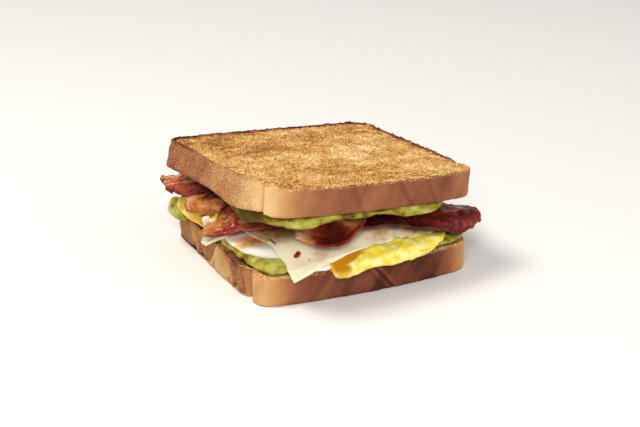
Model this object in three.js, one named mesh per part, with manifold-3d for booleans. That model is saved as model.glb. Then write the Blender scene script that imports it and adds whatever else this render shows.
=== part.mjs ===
// A breakfast sandwich: two slices of toasted bread round avocado mash, cheese, fried egg and
// bacon. Millimetres, +Z up, standing on the flat underside of the lower slice.
//
// Every filling is either a "round" (a flat piece whose lower and upper faces are height fields
// over one outline) or a "strip" (a ribbon swept along a curve). A piece that is laid against
// others is cut clear of them by a small gap.
import * as THREE from "three";
import { mergeVertices } from "three/addons/utils/BufferGeometryUtils.js";
import Module from "manifold-3d";

const wasm = await Module();
wasm.setup();

// ---- Driving dimensions --------------------------------------------------------------------
// A slice is measured from the middle of its cut faces: depth runs from the bottom crust (+Y)
// to the top of the dome (-Y). On each side, reach is how far out the crust lies, flare how much
// further it lies at the bottom crust, fold how far in the fold beside the dome is, lobe how far
// out the dome's shoulder swells, and corner the radius where the side meets the bottom crust.
const LOWER_SLICE = {
  depth: 102.6,
  thick: 14.5,
  rise: 3.3,
  sag: 0,
  left: { reach: 56, flare: 0.5, fold: 49.4, lobe: 53.6, corner: 5.5 },
  right: { reach: 53, flare: 1.8, fold: 50.4, lobe: 52.4, corner: 10 },
};
const UPPER_SLICE = {
  depth: 99.2,
  thick: 13.4,
  rise: 3.2,
  sag: 3,
  left: { reach: 55.6, flare: 1.7, fold: 50.7, lobe: 54.6, corner: 5.5 },
  right: { reach: 55.1, flare: 1.6, fold: 52.4, lobe: 54.8, corner: 10 },
};
const CRUST_ROUND = 1.6; // rounding where a cut face meets the crust
const LOBE_RADIUS = 12.7; // the two shoulders of the domed top crust
const CREASE_RUN = 9; // length of side crust that bends into the fold

// The upper slice lies askew on the filling: lower at the right and the back, and turned.
const UPPER_SEAT = new THREE.Vector3(-5.1, -7, 39);
const UPPER_TILT = new THREE.Euler(-0.041, 0.113, 0.146, "YXZ");

const GAP = 0.35; // clearance between pieces that touch
const LAY = 0.6; // clearance designed into one layer over the next

const AVOCADO_THICK = 3.4;
const EGG_THICK = 5.2;
const CHEESE_THICK = 2;
const TORN_CHEESE_THICK = 1.6;
const BACON_THICK = 2.4;

const MASH_FLOOR = LOWER_SLICE.thick + GAP;
const EGG_FLOOR = MASH_FLOOR + AVOCADO_THICK + LAY;

const TAU = 2 * Math.PI;

// ---- Solids --------------------------------------------------------------------------------

// Joins rings of equal length into one closed skin, with a fan at each end.
function loft(rings) {
  const count = rings[0].length;
  const centre = (ring) =>
    ring.reduce((sum, p) => sum.add(p), new THREE.Vector3()).divideScalar(count);
  const points = [...rings.flat(), centre(rings[0]), centre(rings.at(-1))];
  const first = points.length - 2;
  const last = points.length - 1;
  const index = [];
  for (let i = 0; i < count; i++) {
    const next = (i + 1) % count;
    index.push(first, next, i);
    for (let ring = 0; ring < rings.length - 1; ring++) {
      const low = ring * count;
      const high = low + count;
      index.push(low + i, low + next, high + next);
      index.push(low + i, high + next, high + i);
    }
    const top = (rings.length - 1) * count;
    index.push(last, top + i, top + next);
  }
  const geometry = new THREE.BufferGeometry().setFromPoints(points);
  geometry.setIndex(index);
  return geometry;
}

// The geometry pushed outwards along its normals.
function grown(geometry, distance) {
  const copy = geometry.clone();
  copy.computeVertexNormals();
  const place = copy.getAttribute("position");
  const normal = copy.getAttribute("normal");
  for (let i = 0; i < place.count; i++) {
    place.setXYZ(
      i,
      place.getX(i) + distance * normal.getX(i),
      place.getY(i) + distance * normal.getY(i),
      place.getZ(i) + distance * normal.getZ(i),
    );
  }
  copy.deleteAttribute("normal");
  return copy;
}

function solidOf(geometry) {
  const merged = mergeVertices(geometry, 1e-4);
  return new wasm.Manifold(
    new wasm.Mesh({
      numProp: 3,
      vertProperties: merged.getAttribute("position").array,
      triVerts: new Uint32Array(merged.index.array),
    }),
  );
}

function geometryOf(solid) {
  const { vertProperties, triVerts } = solid.getMesh();
  const geometry = new THREE.BufferGeometry();
  geometry.setAttribute("position", new THREE.BufferAttribute(vertProperties, 3));
  geometry.setIndex(new THREE.BufferAttribute(triVerts, 1));
  return geometry;
}

// The geometry with its neighbours and a small gap round them cut away. Crumbs are dropped.
function clearOf(geometry, ...neighbours) {
  const cut = neighbours.reduce(
    (solid, other) => solid.subtract(solidOf(grown(other, GAP))),
    solidOf(geometry),
  );
  const largest = cut.decompose().sort((a, b) => b.volume() - a.volume())[0];
  return geometryOf(largest);
}

// ---- Outlines ------------------------------------------------------------------------------

// One side of a slice: from the middle of its bottom crust to the middle of its dome, drawn for
// the left side, so that the right side is its mirror image.
function sliceSide({ depth, rise }, { reach, flare, fold, lobe, corner }) {
  const back = depth / 2;
  const wide = reach + flare;
  const shoulder = -back + rise;
  const crease = shoulder + LOBE_RADIUS;
  const path = new THREE.Path();
  path.moveTo(0, back);
  path.lineTo(corner - wide, back);
  path.absarc(corner - wide, back - corner, corner, TAU / 4, TAU / 2, false);
  path.lineTo(-reach, crease + CREASE_RUN);
  path.quadraticCurveTo(-reach, crease + CREASE_RUN / 4, -fold, crease);
  path.quadraticCurveTo(-lobe, crease - 1, -lobe, crease - LOBE_RADIUS / 3);
  path.quadraticCurveTo(-lobe, shoulder, LOBE_RADIUS - lobe, shoulder - rise / 6);
  path.quadraticCurveTo(-lobe / 2, -back, 0, -back);
  return path.getPoints(5);
}

// One slice of a domed loaf, counter-clockwise from the middle of its bottom crust.
function sliceOutline(size) {
  const left = sliceSide(size, size.left);
  const right = sliceSide(size, size.right).slice(1, -1).reverse();
  return [...left, ...right.map((p) => new THREE.Vector2(-p.x, p.y))];
}

// A smooth closed outline through a few points, evenly divided.
function smoothOutline(corners, count) {
  const points = corners.map(([x, y]) => new THREE.Vector3(x, y, 0));
  const curve = new THREE.CatmullRomCurve3(points, true, "centripetal");
  return curve.getSpacedPoints(count).slice(0, count).map((p) => new THREE.Vector2(p.x, p.y));
}

// A straight-sided outline, each side evenly divided.
function cutOutline(corners, perSide) {
  return corners.flatMap(([x, y], i) => {
    const [toX, toY] = corners[(i + 1) % corners.length];
    const steps = Array.from({ length: perSide }, (_, k) => k / perSide);
    return steps.map((t) => new THREE.Vector2(x + (toX - x) * t, y + (toY - y) * t));
  });
}

// ---- Rounds: slices, mash, egg and cheese --------------------------------------------------

// Rings as [share of the outline, place between the lower (-1) and upper (+1) face].
const SOFT_RIM = [
  [0.4, -1], [0.75, -1], [0.94, -0.9], [1, -0.35], [1, 0.35], [0.94, 0.9], [0.75, 1], [0.4, 1],
];
const CUT_RIM = [
  [0.3, -1], [0.6, -1], [0.85, -1], [1, -1], [1, 1], [0.85, 1], [0.6, 1], [0.3, 1],
];

// A flat piece between two height fields, over an outline that its middle can see all of.
function round(outline, lower, upper, rim) {
  const middle = outline
    .reduce((sum, p) => sum.add(p), new THREE.Vector2())
    .divideScalar(outline.length);
  return loft(
    rim.map(([share, level]) =>
      outline.map((edge) => {
        const p = middle.clone().lerp(edge, share);
        const low = lower(p.x, p.y);
        const high = upper(p.x, p.y);
        return new THREE.Vector3(p.x, p.y, (low + high + level * (high - low)) / 2);
      }),
    ),
  );
}

// A slice whose crust droops by its sag on the left side, short of the fold.
function slice(size) {
  const inset = 1 - (2 * CRUST_ROUND) / (size.left.reach + size.right.reach);
  const rings = [
    [inset, 0], [1, CRUST_ROUND], [1, size.thick - CRUST_ROUND], [inset, size.thick],
  ];
  const outline = sliceOutline(size);
  const droop = (p, z) => size.sag * bump(p.x, p.y, -size.left.reach, -13, 14) * (1 - z / size.thick);
  return loft(
    rings.map(([share, z]) =>
      outline.map((p) => new THREE.Vector3(p.x * share, p.y * share, z - droop(p, z))),
    ),
  );
}

// How far a point lies outside the lower slice, 0 over the bread.
function beyond(x, y) {
  const overX = Math.max(0, Math.abs(x) - 53.4);
  const overY = Math.max(0, Math.abs(y) - LOWER_SLICE.depth / 2 + 2);
  return Math.hypot(overX, overY);
}

// 0 before the start, 1 after the end, and smooth between.
const ease = (value, start, end) => THREE.MathUtils.smoothstep(value, start, end);

// Soft bumps, between about -1 and 1, with the given distance between them.
function lumps(x, y, spacing, phase) {
  const k = TAU / spacing;
  return (
    0.5 * Math.sin(k * x + 1.7 * Math.sin(0.6 * k * y + phase)) +
    0.5 * Math.sin(0.9 * k * y + 1.3 * Math.sin(0.7 * k * x - phase))
  );
}

function bump(x, y, atX, atY, reach) {
  return Math.exp(-((x - atX) ** 2 + (y - atY) ** 2) / (reach * reach));
}

// The mash on the lower slice. A lump of it hangs over the left side at the back.
const mashFloor = (x, y) =>
  MASH_FLOOR - 0.35 * beyond(x, y) + 2.2 * bump(x, y, -63, 40, 7);

function mashTop(x, y) {
  return (
    mashFloor(x, y) +
    AVOCADO_THICK * (1 + 0.22 * lumps(x, y, 23, 0.4)) +
    6.4 * bump(x, y, -60.5, 40, 7.5) +
    1.2 * bump(x, y, -42, -42, 12)
  );
}

function avocadoLower() {
  const outline = smoothOutline(
    [
      [-38, 46], [-54, 49], [-63, 43], [-62, 34], [-55, 26], [-52.5, 8], [-54, -8], [-53.4, -22],
      [-52, -35], [-46, -46], [-34, -48], [-10, -44], [15, -46], [34, -48], [49, -42],
      [51, -25], [50, 0], [52, 22], [48, 42], [30, 46], [8, 44], [-18, 47],
    ],
    44,
  );
  return round(outline, mashFloor, mashTop, SOFT_RIM);
}

// The near left corner, where egg and cheese hang over the crust.
const hangingCorner = (x, y) => bump(x, y, -40, -56, 13);

// The fried egg slopes down to its left side, its front edge and its two near corners.
function eggTop(x, y) {
  return (
    EGG_FLOOR + EGG_THICK + 0.5 * lumps(x, y, 46, 2.1) -
    4 * bump(x, y, -55, -18, 14) -
    3.6 * ease(-y, 35, 48) -
    1.8 * bump(x, y, -22, -52, 14) -
    3.4 * bump(x, y, 42, -44, 20) -
    2.6 * hangingCorner(x, y) -
    0.5 * beyond(x, y)
  );
}

function eggWhite() {
  const outline = smoothOutline(
    [
      [-51, 4], [-53.5, -8], [-53.2, -19], [-50.8, -29], [-45, -38.5], [-37.5, -46.5], [-28, -51.5],
      [-19, -51.5], [-14, -46], [-2, -45], [14, -44], [30, -42], [42, -34], [47, -12], [47, 6],
      [44, 26], [33, 42], [10, 47], [-18, 44], [-40, 41], [-52, 36], [-56, 25], [-54, 13],
    ],
    36,
  );
  const floor = (x, y) =>
    EGG_FLOOR - 1.6 * bump(x, y, -54, -16, 14) - 2.2 * bump(x, y, -43, -42, 15) -
    1.8 * ease(-y, 38, 50) - 1.4 * bump(x, y, -22, -52, 12) - 0.3 * beyond(x, y);
  return round(outline, floor, eggTop, SOFT_RIM);
}

// The broken yolk, run out over the egg's near edge and the front crust.
function yolkFront() {
  const outline = smoothOutline(
    [
      [-23, -51.5], [-20, -54.5], [-13, -55.5], [0, -54.8], [13, -53.6], [25, -52], [35, -47.6],
      [39.5, -42], [34, -40], [20, -41], [4, -42], [-14, -45.5],
    ],
    30,
  );
  const floor = (x, y) => MASH_FLOOR + 2.6 - 0.95 * beyond(x, y);
  const top = (x, y) =>
    MASH_FLOOR + 4.5 + 2 * bump(x, y, 8, -46, 24) + 0.5 * lumps(x, y, 13, 1) -
    0.6 * beyond(x, y);
  return round(outline, floor, top, SOFT_RIM);
}

// A second, thinner spread of yolk, down over the left side.
function yolkLeft() {
  const outline = smoothOutline(
    [[-54, 38], [-60, 37], [-62, 27], [-61, 13], [-58.5, 1], [-54, -1], [-49, 10], [-48, 28]],
    20,
  );
  const floor = (x, y) => eggTop(x, y) + LAY - 0.1 * beyond(x, y);
  const top = (x, y) => floor(x, y) + 3.4 + 0.5 * lumps(x, y, 12, 2);
  return round(outline, floor, top, SOFT_RIM);
}

// A square outline from its near left corner, turned counter-clockwise by an angle in degrees.
function squareOutline(x, y, side, angle) {
  const turned = THREE.MathUtils.degToRad(angle);
  const along = new THREE.Vector2(side, 0).rotateAround(new THREE.Vector2(), turned);
  const across = new THREE.Vector2(-along.y, along.x);
  const corner = new THREE.Vector2(x, y);
  const corners = [
    corner,
    corner.clone().add(along),
    corner.clone().add(along).add(across),
    corner.clone().add(across),
  ];
  return cutOutline(corners.map((p) => [p.x, p.y]), 7);
}

// The slice of cheese on the egg. Its near corner hangs over the front crust.
function cheeseTop() {
  const outline = squareOutline(-40, -53.5, 83, 8);
  const floor = (x, y) =>
    eggTop(x, y) + LAY - 3.4 * hangingCorner(x, y) - 1.2 * bump(x, y, -22, -52, 10);
  return round(outline, floor, (x, y) => floor(x, y) + CHEESE_THICK, CUT_RIM);
}

// A torn piece of cheese under the egg, whose corner hangs over the left side.
function cheeseLeft() {
  const outline = cutOutline([[-60.4, 6], [-60.2, 0.6], [-41, -18], [-22, 3], [-42, 20]], 4);
  const droop = (x) => 0.13 * Math.max(0, -51 - x) ** 1.5;
  const floor = (x, y) => mashTop(x, y) + LAY - droop(x);
  return round(outline, floor, (x, y) => floor(x, y) + TORN_CHEESE_THICK, CUT_RIM);
}

// ---- Strips: bacon -------------------------------------------------------------------------

// The section of a rasher, as [across, up, slope] for each place from its right edge to its
// left. It is bent like a strip of paper: a cup curves it evenly, and a fold turns its right
// edge down from the place foldAt outwards. Angles are in degrees.
function baconSection(half, cup, fold, foldAt) {
  const places = 6;
  const walk = (sign) => {
    const stops = [];
    let across = 0;
    let up = 0;
    for (let i = 1; i <= places / 2; i++) {
      const v = (sign * (i - 0.5) * 2) / places;
      const turned = fold * ease(-v, foldAt, 1.1);
      const slope = THREE.MathUtils.degToRad(cup * v + turned);
      across += (sign * half * Math.cos(slope) * 2) / places;
      up += (sign * half * Math.sin(slope) * 2) / places;
      stops.push([across, up, slope]);
    }
    return stops;
  };
  return [...walk(-1).reverse(), [0, 0, 0], ...walk(1)];
}

// A rasher: a wavy ribbon along a curve. Each stop is [x, y, z, half width, roll, fold], the
// angles in degrees; a positive roll lifts the edge on the left of the run.
function rasher(stops, { ruffle = 1, wave = 22, phase = 0, cup = 0, foldAt = 0.2 }) {
  const spine = new THREE.CatmullRomCurve3(stops.map(([x, y, z]) => new THREE.Vector3(x, y, z)));
  const length = spine.getLength();
  const steps = 17;
  const between = (column, t) => {
    const place = Math.min(t * (stops.length - 1), stops.length - 1 - 1e-6);
    const k = Math.floor(place);
    return THREE.MathUtils.lerp(stops[k][column] ?? 0, stops[k + 1][column] ?? 0, place - k);
  };
  const rings = [];
  for (let step = 0; step <= steps; step++) {
    const t = step / steps;
    const run = spine.getTangent(t).normalize();
    const level = new THREE.Vector3(0, 0, 1).cross(run).normalize();
    const side = level.applyAxisAngle(run, THREE.MathUtils.degToRad(between(4, t)));
    const up = run.clone().cross(side).normalize();
    const half = between(3, t) * (1 - 0.2 * Math.abs(2 * t - 1) ** 10);
    const centre = spine.getPoint(t);
    const turn = (TAU * t * length) / wave + phase;
    const section = baconSection(half, cup, between(5, t), foldAt);
    const row = ([across, lift, slope], k, face) => {
      const v = (2 * k) / (section.length - 1) - 1;
      const ripple = ruffle * (v * Math.sin(turn) + 0.4 * v * v * Math.sin(0.5 * turn + 1));
      const thick = (BACON_THICK / 2) * (Math.abs(v) === 1 ? 0.5 : 1) * face;
      return centre
        .clone()
        .addScaledVector(side, across - thick * Math.sin(slope))
        .addScaledVector(up, lift + ripple + thick * Math.cos(slope));
    };
    const under = section.map((place, k) => row(place, k, -1));
    const over = section.map((place, k) => row(place, k, 1));
    rings.push([...under, ...over.reverse()]);
  }
  return loft(rings);
}

// From its end at the left side, high under the upper slice, through to the right.
const baconRear = () =>
  rasher(
    [
      [-67.5, 34.2, 32.8, 6.5, 6], [-63.5, 34, 33.2, 8.4, 8], [-57, 30.5, 34.8, 11, 14],
      [-47, 24.5, 36.2, 12, 14], [-28, 23, 36, 12, 0], [0, 22, 33.2, 12.5, 0],
      [26, 23, 30.6, 12.5, 0], [48, 24, 28, 11.5, 0],
    ],
    { ruffle: 0.9, wave: 30, phase: 0.6 },
  );

// Its end hangs down over the left side; the rest runs along the back.
const baconHanging = () =>
  rasher(
    [
      [-60.5, 4.5, 27.8, 7.6, 30], [-59.2, 6, 31.4, 9.3, 16], [-53.5, 8.5, 33.3, 10.3, -5],
      [-41, 13.5, 31.4, 11.5, -9], [-28, 23, 31, 11, 0], [-8, 33, 31.4, 11, 0],
      [18, 37, 30.6, 10, 0], [44, 36, 26.6, 9.5, 0],
    ],
    { ruffle: 0.9, wave: 33, phase: 0 },
  );

// Low at the left side, its end down over the crust.
const baconLeft = () =>
  rasher(
    [
      [-60.4, 2.2, 20.8, 6.4, 16], [-56.4, -3.8, 24.6, 7.8, 22], [-48, -8, 28.8, 8.6, 17],
      [-38, -4.2, 29.8, 9.3, 7], [-22, 0, 30, 9, 0], [0, 3, 29.8, 8, 0],
    ],
    { ruffle: 0.6, wave: 27, phase: 2.2 },
  );

// In front of that one, its near edge lower; it runs in under the upper slice.
const baconMiddle = () =>
  rasher(
    [
      [-49, -13, 29, 5.5, 22], [-44, -16, 29.2, 6.5, 22], [-37, -18.5, 29.8, 6.5, 16],
      [-28, -18.5, 30.4, 6.5, 6], [-12, -15, 30.2, 7, 0], [10, -12, 30, 7, 0],
    ],
    { ruffle: 0.4, wave: 24, phase: 0.4 },
  );

// Along the front: it sags between two high places, and its near edge hangs.
const baconFront = () =>
  rasher(
    [
      [-31.5, -37, 30.4, 6, 26], [-28.5, -39.5, 30.6, 8, 30], [-23.5, -42.3, 29.8, 9.5, 30],
      [-17, -43, 28.6, 9.5, 26], [-10.5, -41, 31, 9.5, 22], [-4, -36, 33.2, 9, 12],
      [6, -28, 32, 8.5, 0],
    ],
    { ruffle: 0.5, wave: 17, phase: 1.4, cup: 12 },
  );

// Along the front at the right, its end beyond the crust, where its near edge is folded down.
const baconRight = () =>
  rasher(
    [
      [-6, -34, 28.6, 9, 0, 0], [8, -36, 29, 10, 2, 0], [21, -37, 28.4, 10.5, 2, 8],
      [33, -38, 27.6, 11.5, 2, 40], [44, -38, 27, 13, 0, 78], [53, -37, 26, 12.3, -7, 82],
      [60.3, -36, 24.9, 9, -10, 70],
    ],
    { ruffle: 0.7, wave: 23, phase: 1.1, foldAt: -0.1 },
  );

// ---- The mash under the upper slice, in that slice's own frame ------------------------------
function avocadoUpper() {
  const outline = smoothOutline(
    [
      [-36, 38], [-48, 26], [-51, 6], [-53.5, -8], [-54, -22], [-50, -36], [-40, -45.5], [-26, -48.5],
      [-4, -49.5], [18, -50], [33, -48], [41, -39], [44, -18], [45, 10], [42, 32], [20, 42],
      [-10, 42],
    ],
    34,
  );
  const hang = (x, y) =>
    -GAP - 2.4 - 0.6 * lumps(x, y, 21, 1.2) - 3.8 * bump(x, y, -41, -42, 14) -
    5 * bump(x, y, -52, -19, 13) - 2 * bump(x, y, 20, -50, 14) + 1.1 * bump(x, y, 2, -10, 26);
  return round(outline, hang, () => -GAP, SOFT_RIM);
}

// ---- Finishes and assembly -----------------------------------------------------------------
const finish = (color, roughness) => new THREE.MeshStandardMaterial({ color, roughness, metalness: 0 });
const TOAST = finish(0xc98f4e, 0.85);
const MASH = finish(0xa3ab4a, 0.5);
const WHITE = finish(0xf3ead9, 0.35);
const YOLK = finish(0xf5cc27, 0.3);
const CHEESE = finish(0xf3e2b3, 0.45);
const BACON = finish(0x8c3426, 0.35);

function piece(name, geometry, material) {
  const mesh = new THREE.Mesh(geometry, material);
  mesh.name = name;
  return mesh;
}

// Lays shapes into a group in turn, each cut clear of those laid before it.
function lay(group, shapes, laid) {
  for (const [name, geometry, material] of shapes) {
    group.add(piece(name, clearOf(geometry, ...laid), material));
    laid.push(geometry);
  }
}

function sandwich() {
  const whole = new THREE.Group();
  const laid = [];
  const filling = [
    ["bread_lower", slice(LOWER_SLICE), TOAST],
    ["avocado_lower", avocadoLower(), MASH],
    ["cheese_left", cheeseLeft(), CHEESE],
    ["egg_white", eggWhite(), WHITE],
    ["yolk_front", yolkFront(), YOLK],
    ["cheese_top", cheeseTop(), CHEESE],
    ["bacon_left", baconLeft(), BACON],
    ["bacon_middle", baconMiddle(), BACON],
    ["bacon_right", baconRight(), BACON],
    ["bacon_front", baconFront(), BACON],
    ["bacon_hanging", baconHanging(), BACON],
    ["yolk_left", yolkLeft(), YOLK],
    ["bacon_rear", baconRear(), BACON],
  ];
  lay(whole, filling, laid);

  const askew = new THREE.Group();
  askew.position.copy(UPPER_SEAT);
  askew.rotation.copy(UPPER_TILT);
  askew.updateMatrix();
  const level = askew.matrix.clone().invert();
  const seen = laid.map((geometry) => geometry.clone().applyMatrix4(level));
  const cover = [
    ["bread_upper", slice(UPPER_SLICE), TOAST],
    ["avocado_upper", avocadoUpper(), MASH],
  ];
  lay(askew, cover, seen);
  whole.add(askew);
  return whole;
}

// The origin is the middle of the whole at its underside.
function centred(group) {
  const box = new THREE.Box3().setFromObject(group, true);
  const middle = box.getCenter(new THREE.Vector3());
  group.position.set(-middle.x, -middle.y, -box.min.z);
  return group;
}

export default centred(sandwich());
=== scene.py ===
"""Looks of a toasted breakfast sandwich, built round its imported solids.

Shapes are worked out in millimetres in the sandwich's own frame, whose origin is the middle of
the lower slice's underside, and go to Blender in metres in the row frame. Each piece but the
small loose bits stands for one CAD node, and follows the same outline and height fields with
the fine relief added.
"""

import logging
import math
from collections.abc import Callable, Sequence
from dataclasses import dataclass, field
from enum import Enum
from itertools import product

import bpy
import numpy as np
from mathutils import Euler, Matrix, Vector
from mathutils.bvhtree import BVHTree

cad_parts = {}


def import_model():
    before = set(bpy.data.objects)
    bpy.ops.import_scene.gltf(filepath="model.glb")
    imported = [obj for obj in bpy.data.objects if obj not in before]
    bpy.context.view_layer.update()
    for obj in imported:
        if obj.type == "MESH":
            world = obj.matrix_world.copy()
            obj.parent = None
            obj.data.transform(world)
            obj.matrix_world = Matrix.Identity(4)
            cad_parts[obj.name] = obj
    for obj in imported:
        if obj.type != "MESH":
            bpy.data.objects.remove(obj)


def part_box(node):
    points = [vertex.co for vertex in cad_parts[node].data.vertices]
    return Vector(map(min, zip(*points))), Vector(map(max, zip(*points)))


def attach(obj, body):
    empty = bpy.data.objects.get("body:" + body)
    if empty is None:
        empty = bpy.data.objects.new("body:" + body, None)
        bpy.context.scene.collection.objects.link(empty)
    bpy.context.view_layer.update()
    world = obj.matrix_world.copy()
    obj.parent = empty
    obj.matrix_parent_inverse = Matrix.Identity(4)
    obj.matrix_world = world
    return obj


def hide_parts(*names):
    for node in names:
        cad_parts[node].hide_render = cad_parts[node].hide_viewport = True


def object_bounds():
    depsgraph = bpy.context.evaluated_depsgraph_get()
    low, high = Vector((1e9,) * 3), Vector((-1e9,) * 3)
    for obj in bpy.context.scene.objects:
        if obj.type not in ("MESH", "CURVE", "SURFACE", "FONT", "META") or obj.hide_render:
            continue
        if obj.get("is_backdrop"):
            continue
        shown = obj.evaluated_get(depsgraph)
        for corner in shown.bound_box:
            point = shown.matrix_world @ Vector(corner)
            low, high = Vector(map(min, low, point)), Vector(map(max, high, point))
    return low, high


log = logging.getLogger("sandwich")

Array = np.ndarray
Height = Callable[[Array, Array], Array]
Table = tuple[tuple[float, ...], ...]
Stops = tuple[tuple[float, str], ...]
Range = tuple[float, float]
Place = tuple[float, float, float]
Socket = bpy.types.NodeSocket
Material = bpy.types.Material

MM = 0.001
BODY = "root"

# ---- Driving dimensions, in millimetres ----
BREAD_THICK = 14.5
GAP = 0.35
LAY = 0.6
AVOCADO_THICK = 3.4
EGG_THICK = 5.2
CHEESE_THICK = 2.0
CHEESE_THINNING = 1.25
TORN_CHEESE_THICK = 1.6
BACON_THICK = 2.2
CRUST_AT = 53.4
CRUST_ROUNDING = 2
MASH_FLOOR = BREAD_THICK + GAP
EGG_FLOOR = MASH_FLOOR + AVOCADO_THICK + LAY

# ---- How finely outlines are worked out, in steps ----
SMOOTH_STEPS = 60
CUT_STEPS = 240
BEND_STEPS = 40
SLICE_STEPS = 4000
EDGE_STEPS = 699


# ---- Fields and noise ----
def ease(value: Array, start: float, end: float) -> Array:
    """A smooth step: 0 before the start, 1 after the end."""
    share = np.clip((value - start) / (end - start), 0, 1)
    return share * share * (3 - 2 * share)


def bell(away: Array, width: float | Array) -> Array:
    """1 where a distance is 0, falling to 0 over about twice the width."""
    return np.exp(-((away / width) ** 2))


def bump(x: Array, y: Array, at_x: float, at_y: float, reach: float) -> Array:
    """A round hump, 1 at its middle and falling to 0 past its reach."""
    return np.exp(-((x - at_x) ** 2 + (y - at_y) ** 2) / reach**2)


def hills(x: Array, y: Array, base: Array | float, *humps: tuple[float, ...]) -> Array:
    """Adds round humps to a height.

    Args:
        x: Across.
        y: Along.
        base: What they are added to.
        humps: The middle across and along, the reach and the height of each.

    Returns:
        The new height.
    """
    for at_x, at_y, reach, rise in humps:
        base = base + rise * bump(x, y, at_x, at_y, reach)
    return base


def lumps(x: Array, y: Array, spacing: float, phase: float) -> Array:
    """Soft regular lumps.

    Args:
        x: Across.
        y: Along.
        spacing: The distance between them.
        phase: Shifts the pattern.

    Returns:
        Values between about -1 and 1.
    """
    k = math.tau / spacing
    first = np.sin(k * x + 1.7 * np.sin(0.6 * k * y + phase))
    second = np.sin(0.9 * k * y + 1.3 * np.sin(0.7 * k * x - phase))
    return 0.5 * (first + second)


def dice(cell: Array, seed: int) -> Array:
    """A steady random value for each whole-numbered cell.

    Args:
        cell: Whole numbers, three to a row.
        seed: Another seed gives other values.

    Returns:
        Values from 0 to 1.
    """
    a, b, c = (cell[..., i].astype(np.uint32) for i in range(3))
    mixed = a * np.uint32(374761393) + b * np.uint32(668265263) + c * np.uint32(2246822519)
    mixed = mixed + np.uint32((seed * 3266489917) & 0xFFFFFFFF)
    mixed = (mixed ^ (mixed >> np.uint32(13))) * np.uint32(1274126177)
    mixed = (mixed ^ (mixed >> np.uint32(16))) * np.uint32(2654435761)
    return (mixed ^ (mixed >> np.uint32(15))).astype(float) / 2**32


def grain(points: Array, size: float, seed: int, octaves: int = 3) -> Array:
    """Soft cloudy noise.

    Args:
        points: Where to read it, three to a row.
        size: The distance between its largest lumps.
        seed: Another seed gives another pattern.
        octaves: How many layers it has, each half as large and as strong as the last.

    Returns:
        Values between about -1 and 1.
    """
    total = np.zeros(len(points))
    for octave in range(octaves):
        place = points * 2**octave / size + 19.19 * octave
        base = np.floor(place).astype(np.int64)
        part = place - base
        part = part**3 * (part * (part * 6 - 15) + 10)
        value = np.zeros(len(points))
        for corner in product((0, 1), repeat=3):
            share = np.prod(np.where(corner, part, 1 - part), axis=1)
            value += share * dice(base + np.array(corner), seed + octave)
        total += (2 * value - 1) * 0.5**octave
    return total


def pits(points: Array, size: float, seed: int) -> tuple[Array, Array]:
    """Scattered round cells.

    Args:
        points: Where to read them, three to a row.
        size: The distance between cells.
        seed: Another seed scatters them otherwise.

    Returns:
        How far each point is from the nearest cell's middle, in cells, and that cell's own
        random value from 0 to 1.
    """
    place = points / size
    base = np.floor(place).astype(np.int64)
    nearest = np.full(len(points), 9.0)
    own = np.zeros(len(points))
    for step in product((-1, 0, 1), repeat=3):
        cell = base + np.array(step)
        middle = cell + np.stack([dice(cell, seed + i) for i in range(3)], axis=1)
        away = np.linalg.norm(place - middle, axis=1)
        closer = away < nearest
        nearest = np.where(closer, away, nearest)
        own = np.where(closer, dice(cell, seed + 3), own)
    return nearest, own


# ---- Curves and outlines ----
def spline(stops: Array, t: Array, closed: bool) -> Array:
    """A centripetal Catmull-Rom curve.

    Args:
        stops: The points that it goes through.
        t: How far along, 0 to 1, with each stretch between stops equally long.
        closed: Whether it comes back to its first point.

    Returns:
        A point for each value of t.
    """
    if closed:
        ring = np.vstack([stops[-1:], stops, stops[:2]])
    else:
        ring = np.vstack([2 * stops[:1] - stops[1:2], stops, 2 * stops[-1:] - stops[-2:-1]])
    spans = len(ring) - 3
    place = np.clip(t, 0, 1) * spans
    k = np.minimum(place.astype(int), spans - 1)
    w = (place - k)[:, None]
    p0, p1, p2, p3 = ring[k], ring[k + 1], ring[k + 2], ring[k + 3]
    pairs = ((p0, p1), (p1, p2), (p2, p3))
    d0, d1, d2 = (np.linalg.norm(b - a, axis=1, keepdims=True) ** 0.5 for a, b in pairs)
    m1 = ((p1 - p0) / d0 - (p2 - p0) / (d0 + d1) + (p2 - p1) / d1) * d1
    m2 = ((p2 - p1) / d1 - (p3 - p1) / (d1 + d2) + (p3 - p2) / d2) * d1
    square = 3 * (p2 - p1) - 2 * m1 - m2
    cube = 2 * (p1 - p2) + m1 + m2
    return p1 + w * (m1 + w * (square + w * cube))


def run_along(path: Array) -> Array:
    """How far along a polyline each of its points lies."""
    return np.concatenate([[0], np.cumsum(np.linalg.norm(np.diff(path, axis=0), axis=1))])


def divided(path: Array, marks: Array) -> Array:
    """Points along a polyline.

    Args:
        path: The polyline's points.
        marks: How far along each wanted point is, 0 to 1 of the whole length.

    Returns:
        A point for each mark.
    """
    run = run_along(path)
    wanted = marks * run[-1]
    return np.stack([np.interp(wanted, run, path[:, i]) for i in range(path.shape[1])], axis=1)


def smooth_outline(corners: Sequence[tuple[float, ...]]) -> Array:
    """A smooth fine closed polyline through a few points, whose last point is its first."""
    fine = np.linspace(0, 1, SMOOTH_STEPS * len(corners) + 1)
    return spline(np.array(corners, float), fine, closed=True)


def cut_outline(corners: Sequence[tuple[float, ...]]) -> Array:
    """A straight-sided fine closed polyline through a few corners, whose last point is its first."""
    ring = np.array([*corners, corners[0]], float)
    return divided(ring, np.linspace(0, 1, CUT_STEPS * len(corners) + 1))


def bend(start: Array, pull: Array, end: Array) -> Array:
    """A fine quadratic curve from start to end, drawn out to a third point, without its start."""
    t = np.linspace(0, 1, BEND_STEPS + 1)[1:, None]
    return (1 - t) ** 2 * start + 2 * t * (1 - t) * pull + t**2 * end


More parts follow.
